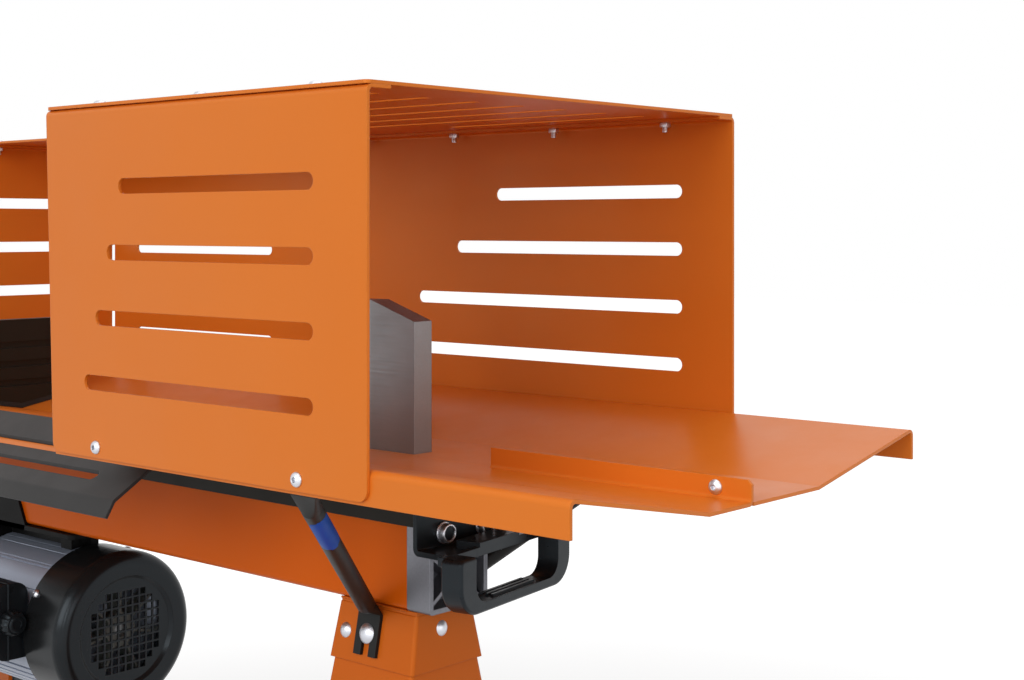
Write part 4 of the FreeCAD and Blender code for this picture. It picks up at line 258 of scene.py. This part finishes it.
def finish_mesh(bm, name, mat, body="base", angle=0.6):
    """Turns bm into a shaded object of a body; edges sharper than angle stay sharp."""
    bmesh.ops.remove_doubles(bm, verts=bm.verts, dist=WELD_DISTANCE)
    bmesh.ops.recalc_face_normals(bm, faces=bm.faces)
    for face in bm.faces:
        face.smooth = True
    for edge in bm.edges:
        if len(edge.link_faces) == 2 and edge.calc_face_angle(0) > angle:
            edge.smooth = False
    mesh = bpy.data.meshes.new(name)
    bm.to_mesh(mesh)
    bm.free()
    obj = bpy.data.objects.new(name, mesh)
    bpy.context.scene.collection.objects.link(obj)
    mesh.materials.append(MAT[mat])
    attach(obj, body)
    return obj


def frame_at(place, axis, spin=0.0):
    """A matrix that stands a shape made along +Z at a place, along an axis."""
    z = Vector(axis).normalized()
    x = Vector((1, 0, 0)) if abs(z.x) < 0.9 else Vector((0, 1, 0))
    y = z.cross(x).normalized()
    x = y.cross(z)
    m = Matrix((x, y, z)).transposed().to_4x4()
    m.translation = Vector(place)
    return m @ Matrix.Rotation(spin, 4, "Z")


def bridge(bm, low, high):
    """Faces between two rings of the same length."""
    for k in range(len(low)):
        after = (k + 1) % len(low)
        bm.faces.new((low[k], low[after], high[after], high[k]))


def turned(bm, outline, place, axis, segments=32, spin=0.0, radius_of=None):
    """Adds a turned shape to bm: outline is a list of (radius, height), closed where the radius is zero."""
    m = frame_at(place, axis, spin)
    rings = []
    for radius, height in outline:
        if radius == 0:
            rings.append([bm.verts.new(m @ Vector((0, 0, height)))])
            continue
        ring = []
        for k in range(segments):
            a = TAU * k / segments
            r = radius_of(radius, a) if radius_of else radius
            ring.append(bm.verts.new(m @ Vector((r * math.cos(a), r * math.sin(a), height))))
        rings.append(ring)
    for low, high in zip(rings, rings[1:]):
        if len(low) > 1 and len(high) > 1:
            bridge(bm, low, high)
            continue
        for k in range(segments):
            after = (k + 1) % segments
            if len(high) > 1:
                bm.faces.new((low[0], high[after], high[k]))
            elif len(low) > 1:
                bm.faces.new((low[k], low[after], high[0]))


def prism(bm, outline, start, run):
    """A flat outline (list of points) pushed along run."""
    low = [bm.verts.new(Vector(start) + Vector(p)) for p in outline]
    high = [bm.verts.new(v.co + Vector(run)) for v in low]
    bm.faces.new(low)
    bm.faces.new(high[::-1])
    bridge(bm, low, high)


def rounded_ring(bm, half_a, half_b, corner, place_of, outline, segments=8):
    """Sweeps an outline of (offset, depth) round a rounded rectangle that place_of puts in space."""
    loops = []
    for offset, depth in outline:
        loop = []
        r = max(corner + offset, 0.0003)
        for sa, sb, start in ((1, 1, 0), (-1, 1, 90), (-1, -1, 180), (1, -1, 270)):
            ca, cb = sa * (half_a - corner), sb * (half_b - corner)
            for k in range(segments + 1):
                t = math.radians(start + 90 * k / segments)
                loop.append(bm.verts.new(place_of(ca + r * math.cos(t), cb + r * math.sin(t), depth)))
        loops.append(loop)
    for low, high in zip(loops, loops[1:] + loops[:1]):
        bridge(bm, low, high)


def lid_lip(name, low, high, corner, face_y, deep):
    """Overlapping lip of a moulded lid that faces the operator."""
    proud, under = 0.0009, 0.0015
    ca, cb = (low[0] + high[0]) / 2, (low[1] + high[1]) / 2
    outline = [(-under, face_y + 0.0003), (proud - 0.0006, face_y + 0.0003), (proud, face_y + 0.001),
               (proud, face_y + deep), (-under, face_y + deep)]
    bm = bmesh.new()
    rounded_ring(bm, (high[0] - low[0]) / 2, (high[1] - low[1]) / 2, corner,
                 lambda a, b, depth: Vector((ca + a, depth, cb + b)), outline)
    finish_mesh(bm, name, "black_plastic")


# Screws and nuts

HEX_HALF = TAU / 12


def hex_radius(r, a):
    """Distance to the side of a hexagon whose corners lie at r, at the angle a."""
    return r / math.cos(a % (TAU / 6) - HEX_HALF) * math.cos(HEX_HALF)


def button_head(bm, place, axis, radius, height, socket, spin=0.0):
    """Domed screw head with a hexagon socket."""
    outline = [(radius * 0.97, 0.0), (radius, height * 0.12), (radius * 0.985, height * 0.3),
               (radius * 0.88, height * 0.62), (radius * 0.72, height * 0.85), (socket * 1.12, height),
               (socket, height * 0.97)]
    turned(bm, outline, place, axis, 36, spin)
    foot = height * 0.25
    turned(bm, [(socket, height * 0.97), (socket * 0.98, foot), (0, foot * 0.8)], place, axis, 36, spin,
           lambda r, a: hex_radius(r, a) if r < socket else r)


def hex_nut(bm, place, axis, radius, height, bore, spin=0.0):
    """Nut with chamfered corners and a bore."""
    flat = radius * math.cos(HEX_HALF)
    outline = [(bore, 0.0), (flat * 0.96, 0.0), (radius, height * 0.14), (radius, height * 0.86),
               (flat * 0.96, height), (bore * 1.12, height), (bore, height * 0.9)]
    turned(bm, outline, place, axis, 36, spin, lambda r, a: hex_radius(r, a) if r > flat else r)


def thread(bm, place, axis, radius, length, pitch=0.001):
    """Threaded end: close rings, the last one rounded."""
    count = max(2, int(length / pitch))
    outline = []
    for k in range(count):
        z = length * k / count
        outline += [(radius, z), (radius * 0.9, z + length / count / 2)]
    outline += [(radius * 0.92, length), (radius * 0.75, length * 1.02), (0, length * 1.02)]
    turned(bm, outline, place, axis, 18)


def cross_screw(bm, place, axis, spin):
    """Small pan head with a sunk cross recess."""
    radius, height, steps = 0.0034, 0.002, 24
    arm, wide = 0.5, 0.13
    m = frame_at(place, axis, spin)
    angles = [TAU * k / steps for k in range(steps)]
    rings = []
    for r, h in ((1.0, 0.0), (1.0, 0.35), (0.9, 0.7), (0.72, 0.92), (0.5, 1.0)):
        reach = radius * r
        rings.append([bm.verts.new(m @ Vector((reach * math.cos(a), reach * math.sin(a), height * h)))
                      for a in angles])
    recess = []
    for a in angles:
        least = min(abs(math.cos(a)), abs(math.sin(a)))
        r = arm if least * arm < wide else wide / least
        recess.append((r * math.cos(a), r * math.sin(a)))
    for scale, h in ((0.96, 0.98), (0.8, 0.35)):
        rings.append([bm.verts.new(m @ Vector((radius * x * scale, radius * y * scale, height * h)))
                      for x, y in recess])
    for low, high in zip(rings, rings[1:]):
        bridge(bm, low, high)
    bm.faces.new(rings[-1])


# Camera, fitted to the photo

CAMERA_PLACE = (1.0897, -1.0881, 0.8203)
CAMERA_HEADING = 41.216
CAMERA_LENS = 55.23
CAMERA_SHIFT = -0.1116


def place_camera():
    data = bpy.data.cameras.new("camera")
    camera = bpy.data.objects.new("camera", data)
    bpy.context.scene.collection.objects.link(camera)
    camera.location = CAMERA_PLACE
    camera.rotation_euler = (math.radians(90), 0, math.radians(CAMERA_HEADING))
    data.sensor_width = 36.0
    data.lens = CAMERA_LENS
    data.shift_y = CAMERA_SHIFT
    data.clip_end = 60
    bpy.context.scene.camera = camera


# Light and stage

WORLD_FILL = 0.42
FLOOR_HALF = 14
FLOOR_DROP = 0.0006
FLOOR_GREY = 0.45
FLOOR_GLOW = (0.58, 0.88)
FLOOR_GLOW_REACH = (1.1, 2.2)


def area(name, place, aim, size, power):
    data = bpy.data.lights.new(name, "AREA")
    data.shape = "RECTANGLE"
    data.size, data.size_y = size
    data.energy = power
    obj = bpy.data.objects.new(name, data)
    bpy.context.scene.collection.objects.link(obj)
    obj.location = place
    obj.rotation_euler = (Vector(aim) - Vector(place)).to_track_quat("-Z", "Y").to_euler()


def seen_rays(nt):
    """One for camera, glossy and transmission rays, and zero for the rest."""
    path = nt.nodes.new("ShaderNodeLightPath")
    value = path.outputs["Is Camera Ray"]
    for other in ("Is Glossy Ray", "Is Transmission Ray"):
        most = nt.nodes.new("ShaderNodeMath")
        most.operation = "MAXIMUM"
        nt.links.new(value, most.inputs[0])
        nt.links.new(path.outputs[other], most.inputs[1])
        value = most.outputs[0]
    return value


def light_world():
    world = bpy.data.worlds.new("world")
    bpy.context.scene.world = world
    world.use_nodes = True
    nt = world.node_tree
    background = nt.nodes["Background"]
    background.inputs["Color"].default_value = (1, 1, 1, 1)
    nt.links.new(mapped(nt, seen_rays(nt), WORLD_FILL, 1.0), background.inputs["Strength"])


def floor_material():
    """Pale ground that keeps a shadow near the object and fades to the background's white."""
    mat = bpy.data.materials.new("pale_floor")
    mat.use_nodes = True
    nt = mat.node_tree
    nt.nodes.clear()
    out = nt.nodes.new("ShaderNodeOutputMaterial")
    diffuse = nt.nodes.new("ShaderNodeBsdfDiffuse")
    diffuse.inputs["Color"].default_value = (FLOOR_GREY, FLOOR_GREY, FLOOR_GREY, 1)
    away = nt.nodes.new("ShaderNodeVectorMath")
    away.operation = "LENGTH"
    nt.links.new(coords(nt), away.inputs[0])
    level = nt.nodes.new("ShaderNodeMath")
    level.operation = "MULTIPLY"
    nt.links.new(seen_rays(nt), level.inputs[0])
    nt.links.new(mapped(nt, away.outputs["Value"], *FLOOR_GLOW, *FLOOR_GLOW_REACH), level.inputs[1])
    glow = nt.nodes.new("ShaderNodeEmission")
    nt.links.new(level.outputs[0], glow.inputs["Strength"])
    both = nt.nodes.new("ShaderNodeAddShader")
    nt.links.new(diffuse.outputs[0], both.inputs[0])
    nt.links.new(glow.outputs[0], both.inputs[1])
    nt.links.new(both.outputs[0], out.inputs["Surface"])
    return mat


def lay_floor():
    h = FLOOR_HALF
    mesh = bpy.data.meshes.new("floor")
    mesh.from_pydata([(-h, -h, 0), (h, -h, 0), (h, h, 0), (-h, h, 0)], [], [(0, 1, 2, 3)])
    floor = bpy.data.objects.new("floor", mesh)
    bpy.context.scene.collection.objects.link(floor)
    floor.location.z = -FLOOR_DROP
    mesh.materials.append(floor_material())


place_camera()
area("key", (0.3, -3.6, 2.0), (-0.2, 0, 0.6), (3.0, 2.2), 70)
area("fill", (3.4, -0.6, 1.6), (0.2, 0, 0.6), (2.4, 2.2), 30)
area("front", (2.1, -2.4, 1.3), (-0.3, 0, 0.5), (0.4, 1.1), 10)
area("top", (0.2, 0.3, 3.6), (-0.1, 0, 0.6), (3.6, 2.6), 34)
light_world()
lay_floor()


# Fasteners of the sheets and the bracket

GUARD_END = 0.212
GUARD_HALF = 0.255
TOP = 0.933
BEAM_LOW = 0.457
SOCKET = 0.0022
HEAD_RADIUS = 0.0063
BOLT_HEAD_HEIGHT = 0.004
SCREW_HEAD_HEIGHT = 0.0039
THREAD_RADIUS = 0.003
BOLT_LINE = 0.24
BOLT_INSET = 0.075
BOLT_PITCH = 0.15
FOOT_SCREW_INSETS = (0.081, 0.359)
FOOT_SCREW_Z = 0.617
APRON_SLOPE = 0.6145
BRACKET_BOLT = (0.075, 0.027, 0.534)
WASHER_DEPTH = 0.002
TROUGH_BASE = 0.5893
TROUGH_SLOPE = 0.175


def trough_z(y):
    """Height of the V trough at the offset y from the middle."""
    return TROUGH_BASE + TROUGH_SLOPE * abs(y)


def guard_fasteners():
    """Bolts, nuts and thread ends along both top flanges and on the top strip."""
    line = [GUARD_END - BOLT_INSET - BOLT_PITCH * k for k in range(7)]
    places = [(x, -BOLT_LINE) for x in line[:3]] + [(x, BOLT_LINE) for x in line]
    places += [(-0.847, 0.0617), (-0.847, 0.15425)]
    bm = bmesh.new()
    for index, (x, y) in enumerate(places):
        turn = 0.7 * index
        button_head(bm, (x, y, TOP), (0, 0, 1), HEAD_RADIUS, BOLT_HEAD_HEIGHT, SOCKET, turn)
        hex_nut(bm, (x, y, TOP - 0.006), (0, 0, -1), 0.0058, 0.005, 0.0031, turn * 1.3)
        thread(bm, (x, y, TOP - 0.0105), (0, 0, -1), THREAD_RADIUS, 0.0056)
    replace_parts(finish_mesh(bm, "guard_bolt_set", "zinc_steel"), "guard_bolts")


def sheet_screws():
    """Pan heads at the guard's foot, on the trough, on the tray's lip and on the apron."""
    reach, flush = 0.0068, 0.0002
    seats = []
    for sign in (-1, 1):
        for inset in FOOT_SCREW_INSETS:
            seats.append(((GUARD_END - inset, sign * GUARD_HALF, FOOT_SCREW_Z), (0, sign, 0), reach))
    for x in (-0.354, -0.817):
        seats.append(((x, GUARD_HALF, trough_z(0.252) - 0.0125), (0, 1, 0), reach))
    seats.append(((0.376, -0.023, 0.609), (0, -1, 0), flush))
    apron_z = trough_z(0.149) - APRON_SLOPE * 0.015
    for x in (-0.258, -0.528, -0.798):
        seats.append(((x, -0.164, apron_z), (0, -APRON_SLOPE, 1), reach))
    bm = bmesh.new()
    for index, (place, axis, length) in enumerate(seats):
        button_head(bm, place, axis, HEAD_RADIUS, SCREW_HEAD_HEIGHT, SOCKET, 0.5 * index)
        back = Vector(place) - Vector(axis).normalized() * 0.003
        thread(bm, back, -Vector(axis), THREAD_RADIUS, length)
    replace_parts(finish_mesh(bm, "sheet_screw_set", "zinc_steel"), "pan_head_screws")


def knurled(r, a):
    return r - (0.0003 if r > 0.009 and math.cos(a * 30) < 0 else 0)


def bracket_bolts():
    """Washers and cap screws on the cross bracket, dark plugs in their sockets, and the handle's screws."""
    washer = [(0.0052, 0.0001), (0.0100, 0.0001), (0.0102, 0.0004), (0.0102, 0.0015), (0.0098, 0.0019),
              (0.0052, 0.0019)]
    cap_screw = [(0, -0.0219), (0.0044, -0.0219), (0.0050, -0.0212), (0.0050, 0.0), (0.0085, 0.0),
                 (0.0091, 0.0004), (0.0091, 0.0054), (0.0086, 0.0066), (0.0078, 0.0070), (0.0072, 0.0070),
                 (0.0068, 0.0062), (0.0066, 0.0046), (0, 0.0046)]
    plug = [(0.0064, 0.0042), (0.0067, 0.0050), (0.0063, 0.0058), (0.0030, 0.0062), (0, 0.0062)]
    stem = [(0, -0.0002), (0.0030, -0.0002), (0.0030, 0.0048), (0, 0.0048)]
    forward = (1, 0, 0)
    bm = bmesh.new()
    plugs = bmesh.new()
    x, half, z = BRACKET_BOLT
    for y in (-half, half):
        turned(bm, washer, (x, y, z), forward, 48)
        turned(bm, cap_screw, (x + WASHER_DEPTH, y, z), forward, 60, 0, knurled)
        turned(plugs, plug, (x + WASHER_DEPTH, y, z), forward, 36)
    for x, y in ((0.10294, -0.01503), (0.09668, 0.02448)):
        place = (x, y, 0.5169)
        button_head(bm, place, (0, 0, -1), 0.0066, 0.0038, SOCKET, 0.4)
        turned(bm, stem, place, (0, 0, 1), 18)
    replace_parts(finish_mesh(bm, "bracket_bolt_set", "zinc_steel"), "cross_bracket_bolts")
    finish_mesh(plugs, "bracket_bolt_plugs", "black_plastic")


guard_fasteners()
sheet_screws()
bracket_bolts()


# Welds

LEG_WELD_RADIUS = 0.0013
LEG_WELD_RUN = (-0.0515, 0.039)
LEG_WELD_Y = 0.0385
FOOT_WELD_RADIUS = 0.003
FOOT_WELD_Z = 0.007
FOOT_SIDE_RUN = 0.085
FOOT_SIDE_Y = 0.1275
FOOT_END_RUN = 0.122
FOOT_END_X = 0.0875


def bead(name, start, end, radius):
    """Weld bead: a run of overlapping scallops along a straight stretch."""
    start, end = Vector(start), Vector(end)
    run = (end - start).length
    count = max(2, int(run / (radius * 0.8)))
    outline = [(0, 0)]
    for k in range(count):
        z = run * (k + 0.5) / count
        wobble = 1 + 0.10 * math.sin(k * 2.3) + 0.06 * math.sin(k * 5.1)
        outline += [(radius * 0.82 * wobble, z - run / count * 0.42), (radius * wobble, z)]
    outline.append((0, run))
    bm = bmesh.new()
    turned(bm, outline, start, end - start, 10)
    finish_mesh(bm, name, "leg_orange_painted_shade", angle=1.2)


def weld_leg():
    """Beads under the beam on both sides of the bracket, and on three sides of the foot plate."""
    first, last = LEG_WELD_RUN
    z = BEAM_LOW - 0.0004
    for sign, label in ((-1, ""), (1, "_far")):
        y = sign * LEG_WELD_Y
        bead("leg_bracket_weld" + label, (first, y, z), (last, y, z), LEG_WELD_RADIUS)
    z = FOOT_WELD_Z
    for sign, label in ((-1, "near"), (1, "far")):
        y = sign * FOOT_SIDE_Y
        bead("foot_weld_" + label, (-FOOT_SIDE_RUN, y, z), (FOOT_SIDE_RUN, y, z), FOOT_WELD_RADIUS)
    bead("foot_weld_end", (FOOT_END_X, -FOOT_END_RUN, z), (FOOT_END_X, FOOT_END_RUN, z), FOOT_WELD_RADIUS)


weld_leg()


# Film on the near strut

STRUT_FOOT = Vector((0.0053068, -0.0601314, 0.4617994))
STRUT_ALONG = Vector((0.473337, -0.703711, 0.529852)).normalized()
FILM_PLACE = 0.1975
FILM_HALF_RUN = 0.0305
FILM_HALF_TURN = math.radians(76)
FILM_SHIFT = math.radians(8)
FILM_CORNER = 0.009
FILM_RADII = (0.00902, 0.00918)


def film_on_strut():
    """Plain film with rounded corners stuck on the side of the near strut that faces the operator."""
    middle = STRUT_FOOT + STRUT_ALONG * FILM_PLACE
    toward = Vector((0.99, -0.90, 0.263))
    face = (toward - STRUT_ALONG * toward.dot(STRUT_ALONG)).normalized()
    side = STRUT_ALONG.cross(face)
    rows, steps = 28, 26
    bm = bmesh.new()
    sheets = []
    for radius in FILM_RADII:
        sheet = []
        for i in range(rows + 1):
            t = -FILM_HALF_RUN + 2 * FILM_HALF_RUN * i / rows
            inset = max(0.0, abs(t) - (FILM_HALF_RUN - FILM_CORNER))
            trim = FILM_CORNER - math.sqrt(max(0.0, FILM_CORNER * FILM_CORNER - inset * inset))
            wide = FILM_HALF_TURN - trim / radius
            row = []
            for k in range(steps + 1):
                turn = -wide + 2 * wide * k / steps + FILM_SHIFT
                out_way = face * math.cos(turn) + side * math.sin(turn)
                row.append(bm.verts.new(middle + STRUT_ALONG * t + out_way * radius))
            sheet.append(row)
        for i in range(rows):
            for k in range(steps):
                bm.faces.new((sheet[i][k], sheet[i][k + 1], sheet[i + 1][k + 1], sheet[i + 1][k]))
        sheets.append(sheet)
    low, high = sheets
    rim = ([(0, k) for k in range(steps)] + [(i, steps) for i in range(rows)]
           + [(rows, k) for k in range(steps, 0, -1)] + [(i, 0) for i in range(rows, 0, -1)])
    bridge(bm, [low[i][k] for i, k in rim], [high[i][k] for i, k in rim])
    finish_mesh(bm, "strut_film", "sticker_blue", angle=1.2)


film_on_strut()


# Motor

MOTOR_Z = 0.345
BODY_REAR = -0.732
BODY_FRONT = -0.5352
BODY_NOSE = -0.5232
BODY_RADIUS = 0.0880
FIN_ROOT = 0.0845
FINS = 54
SMOOTH_SIDE = (4, 118)
FLAT_STRIP = (46.5, 52.5)
CREASES = ((11.5, 0.3, 0.0004), (19.0, 0.3, 0.0005), (56.5, 0.5, 0.0010), (33.9, 0.8, 0.0010),
           (36.8, 0.8, 0.0018), (86.0, 0.5, 0.0010), (101.0, 0.5, 0.0010))
SHAFT_HOLE = 0.0093
MOUNT_LOW = 0.451
MOUNT_RISE = 0.499
MOUNT_HALF = 0.0438
MOUNT_SHEET = 0.004
MOUNT_SIDE_FRONT = -0.608
MOUNT_NOSE = -0.512
MOUNT_CORNER = 0.008


def body_radius(turn):
    """Outline of the extruded body; turn is in degrees from the top towards the operator."""
    if SMOOTH_SIDE[0] <= turn <= SMOOTH_SIDE[1]:
        for place, half, depth in CREASES:
            if abs(turn - place) < half:
                return BODY_RADIUS - depth
        if FLAT_STRIP[0] < turn < FLAT_STRIP[1]:
            middle = sum(FLAT_STRIP) / 2
            half = FLAT_STRIP[1] - middle
            return BODY_RADIUS * math.cos(math.radians(half)) / math.cos(math.radians(turn - middle))
        return BODY_RADIUS
    phase = (turn / 360 * FINS) % 1.0
    return BODY_RADIUS if 0.16 < phase < 0.84 else FIN_ROOT


def motor_body():
    """Extruded motor body: smooth creased side towards the operator, fins elsewhere, end shield in the cover.

    A section row holds x, the radius (None for the body's outline) and what is taken off the outline.
    """
    steps = 1296
    chamfer, groove, shield = 0.0012, 0.0015, 0.0897
    section = [(BODY_REAR, SHAFT_HOLE, 0), (BODY_REAR, 0.0560, 0), (BODY_REAR + groove, 0.0580, 0),
               (BODY_REAR + groove, 0.0740, 0), (BODY_REAR, 0.0760, 0), (BODY_REAR, None, chamfer),
               (BODY_REAR + chamfer, None, 0), (BODY_FRONT, None, 0), (BODY_FRONT, shield, 0),
               (BODY_NOSE, shield, 0), (BODY_NOSE, 0.0700, 0), (BODY_NOSE - 0.004, 0.0680, 0),
               (BODY_NOSE - 0.004, 0.0260, 0), (BODY_NOSE, 0.0240, 0), (BODY_NOSE, SHAFT_HOLE, 0)]
    bm = bmesh.new()
    loops = []
    for x, radius, less in section:
        loop = []
        for k in range(steps):
            turn = 360 * k / steps
            r = (body_radius(turn) - less) if radius is None else radius
            a = math.radians(turn)
            loop.append(bm.verts.new((x, -r * math.sin(a), MOTOR_Z + r * math.cos(a))))
        loops.append(loop)
    for low, high in zip(loops, loops[1:] + loops[:1]):
        bridge(bm, low, high)
    obj = finish_mesh(bm, "motor_body", "motor_grey", angle=0.35)
    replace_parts(obj, "motor_housing")


def motor_mount():
    """Plate under the beam, sides with rounded corners that grip it, a keel and two saddles on the motor."""
    foot_round, foot_lean = 0.0075, 0.0015
    bm = bmesh.new()
    side = [(BODY_REAR, 0, MOUNT_LOW), (BODY_REAR, 0, MOUNT_RISE), (MOUNT_SIDE_FRONT - 0.025, 0, MOUNT_RISE)]
    for t in range(0, 91, 15):
        a = math.radians(t)
        side.append((MOUNT_SIDE_FRONT - 0.0035 - foot_lean * (1 - math.cos(a)), 0,
                     MOUNT_LOW + foot_round * (1 - math.sin(a))))
    for y in (-MOUNT_HALF, MOUNT_HALF - MOUNT_SHEET):
        prism(bm, side, (0, y, 0), (0, MOUNT_SHEET, 0))
    round_x = MOUNT_NOSE - MOUNT_CORNER
    round_y = MOUNT_HALF - MOUNT_CORNER
    plate = [(BODY_REAR, -MOUNT_HALF, 0), (round_x, -MOUNT_HALF, 0)]
    for t in range(15, 91, 15):
        a = math.radians(t)
        plate.append((round_x + MOUNT_CORNER * math.sin(a), -round_y - MOUNT_CORNER * math.cos(a), 0))
    plate += [(x, -y, 0) for x, y, z in reversed(plate[1:])] + [(BODY_REAR, MOUNT_HALF, 0)]
    prism(bm, plate, (0, 0, MOUNT_LOW), (0, 0, 0.0058))
    for x0, x1, half in ((-0.571, -0.549, 0.019), (-0.718, -0.696, 0.040), (BODY_REAR, -0.549, 0.009)):
        under = []
        for k in range(13):
            y = -half + 2 * half * k / 12
            under.append((0, y, MOTOR_Z + math.sqrt((BODY_RADIUS + 0.0004) ** 2 - y * y)))
        top = MOUNT_LOW + 0.001
        prism(bm, under + [(0, half, top), (0, -half, top)], (x0, 0, 0), (x1 - x0, 0, 0))
    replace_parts(finish_mesh(bm, "motor_hanger", "mount_black", angle=0.5), "motor_mount")


def cover_screws():
    bm = bmesh.new()
    for k in range(4):
        a = math.radians(149 + 90 * k)
        out_way = Vector((0, math.cos(a), math.sin(a)))
        button_head(bm, Vector((-0.529, 0, MOTOR_Z)) + out_way * 0.0922, out_way, 0.0052, 0.0036, 0.0019, a)
    finish_mesh(bm, "cover_screws", "zinc_steel")


motor_body()
motor_mount()
cover_screws()


# Motor terminal box

BOX_LOW = (-0.645, 0.319)
BOX_HIGH = (-0.540, 0.407)
BOX_FACE = -0.1100
BOX_FRONT = -0.1272
GLAND_PLACE = (-0.540, -0.107, 0.363)
GLAND_RIBS = 14


def ribbed(r, a):
    return r - (0.0009 if math.cos(a * GLAND_RIBS) < -0.35 and r > 0.0125 else 0)


def terminal_box():
    lid_lip("terminal_lid_lip", BOX_LOW, BOX_HIGH, 0.0012, BOX_FACE, 0.003)
    bm = bmesh.new()
    for x in (-0.635, -0.550):
        for z in (0.340, 0.386):
            cross_screw(bm, (x, BOX_FRONT, z), (0, -1, 0), 0.3 + 9 * z)
    finish_mesh(bm, "terminal_lid_screws", "zinc_steel")
    gland = [(0.0118, 0.0), (0.0142, 0.0004), (0.0148, 0.002), (0.0148, 0.0085), (0.0142, 0.0105),
             (0.0128, 0.0135), (0.0105, 0.0158), (0.0070, 0.0168), (0.0052, 0.0168), (0.0050, 0.0120),
             (0, 0.0118)]
    bm = bmesh.new()
    turned(bm, gland, GLAND_PLACE, (1, 0, 0), 84, 0, ribbed)
    finish_mesh(bm, "cable_gland_cap", "black_plastic", angle=0.9)


terminal_box()


# Tyres

AXLE = Vector((-1.028, 0, 0.1))
WHEEL_Y = 0.214
LUGS = 28
TREAD_START = 0.0935
LUG_GAP = 0.0030
LUG_LEAN = 42.0
GAP_SHARE = 0.26
RIB_HALF = 0.002
CENTRE_GROOVE = 0.0026
GROOVE_HALF = 0.0012
TYRE_HALF_OUTLINE = [(-0.0140, 0.0660), (-0.0168, 0.0668), (-0.0178, 0.0700), (-0.0180, 0.0745),
                     (-0.0176, 0.0752), (-0.0180, 0.0760), (-0.0180, 0.0870), (-0.0174, 0.0915),
                     (-0.0160, 0.0950), (-0.0145, 0.0975), (-0.0120, 0.0990), (-0.0095, 0.0996),
                     (-0.0070, 0.0999), (-0.0045, 0.1000), (-0.0022, 0.1000), (0.0, 0.1000)]


def tread_cut(y, r, a):
    """Depth of the tread at the offset y, radius r and angle a."""
    if r <= TREAD_START:
        return 0.0
    if abs(y) < GROOVE_HALF:
        return CENTRE_GROOVE
    phase = (a * LUGS / TAU + abs(y) * LUG_LEAN + (0.5 if y > 0 else 0.0)) % 1.0
    return LUG_GAP if phase < GAP_SHARE and abs(y) > RIB_HALF else 0.0


def tyre(side, label):
    """Solid rubber tyre with chevron tread blocks and a moulded ring on the wall."""
    around = 336
    section = TYRE_HALF_OUTLINE + [(-y, r) for y, r in reversed(TYRE_HALF_OUTLINE[:-1])]
    bm = bmesh.new()
    rings = []
    for y, r in section:
        ring = []
        for k in range(around):
            a = TAU * k / around
            left = r - tread_cut(y, r, a)
            offset = Vector((left * math.cos(a), side * WHEEL_Y + y, left * math.sin(a)))
            ring.append(bm.verts.new(AXLE + offset))
        rings.append(ring)
    for low, high in zip(rings, rings[1:] + rings[:1]):
        bridge(bm, low, high)
    obj = finish_mesh(bm, "tyre_tread_" + label, "tyre_rubber", "wheel_" + label, angle=0.5)
    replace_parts(obj, "wheel_" + label + "_tyre")


tyre(-1, "near")
tyre(1, "far")


# Switch box

SWITCH_LOW = (-0.980, 0.330)
SWITCH_HIGH = (-0.892, 0.442)
SWITCH_LID = -0.1195
SWITCH_FACE = -0.126
BUTTON_Z = 0.404
START_X = -0.918
STOP_X = -0.954
MARK_BACK = -0.1338
MARK_FRONT = -0.1344


def switch_lid():
    lid_lip("switch_lid_lip", SWITCH_LOW, SWITCH_HIGH, 0.010, SWITCH_LID, 0.0035)
    bm = bmesh.new()
    for x in (-0.971, -0.901):
        for z in (0.339, 0.433):
            cross_screw(bm, (x, SWITCH_FACE - 0.0002, z), (0, -1, 0), x * 20)
    finish_mesh(bm, "switch_lid_screws", "zinc_steel")


def button_mark(name, body, x, half_a, half_b, corner, inner, segments):
    """Plain raised mark on a button: a bar or a ring."""
    outline = [(-inner, MARK_BACK), (0, MARK_BACK), (0, MARK_FRONT), (-inner, MARK_FRONT)]
    bm = bmesh.new()
    rounded_ring(bm, half_a, half_b, corner, lambda a, b, depth: Vector((x + a, depth, BUTTON_Z + b)),
                 outline, segments)
    finish_mesh(bm, name, "mark_white", body)


def button_marks():
    bar = 0.0009
    ring = 0.0045
    button_mark("start_mark", "start_switch", START_X, bar, ring, bar * 0.9, bar * 0.85, 4)
    button_mark("stop_mark", "stop_switch", STOP_X, ring, ring, ring, 0.0017, 8)


switch_lid()
button_marks()

scene = bpy.context.scene
scene.view_settings.view_transform = "Standard"
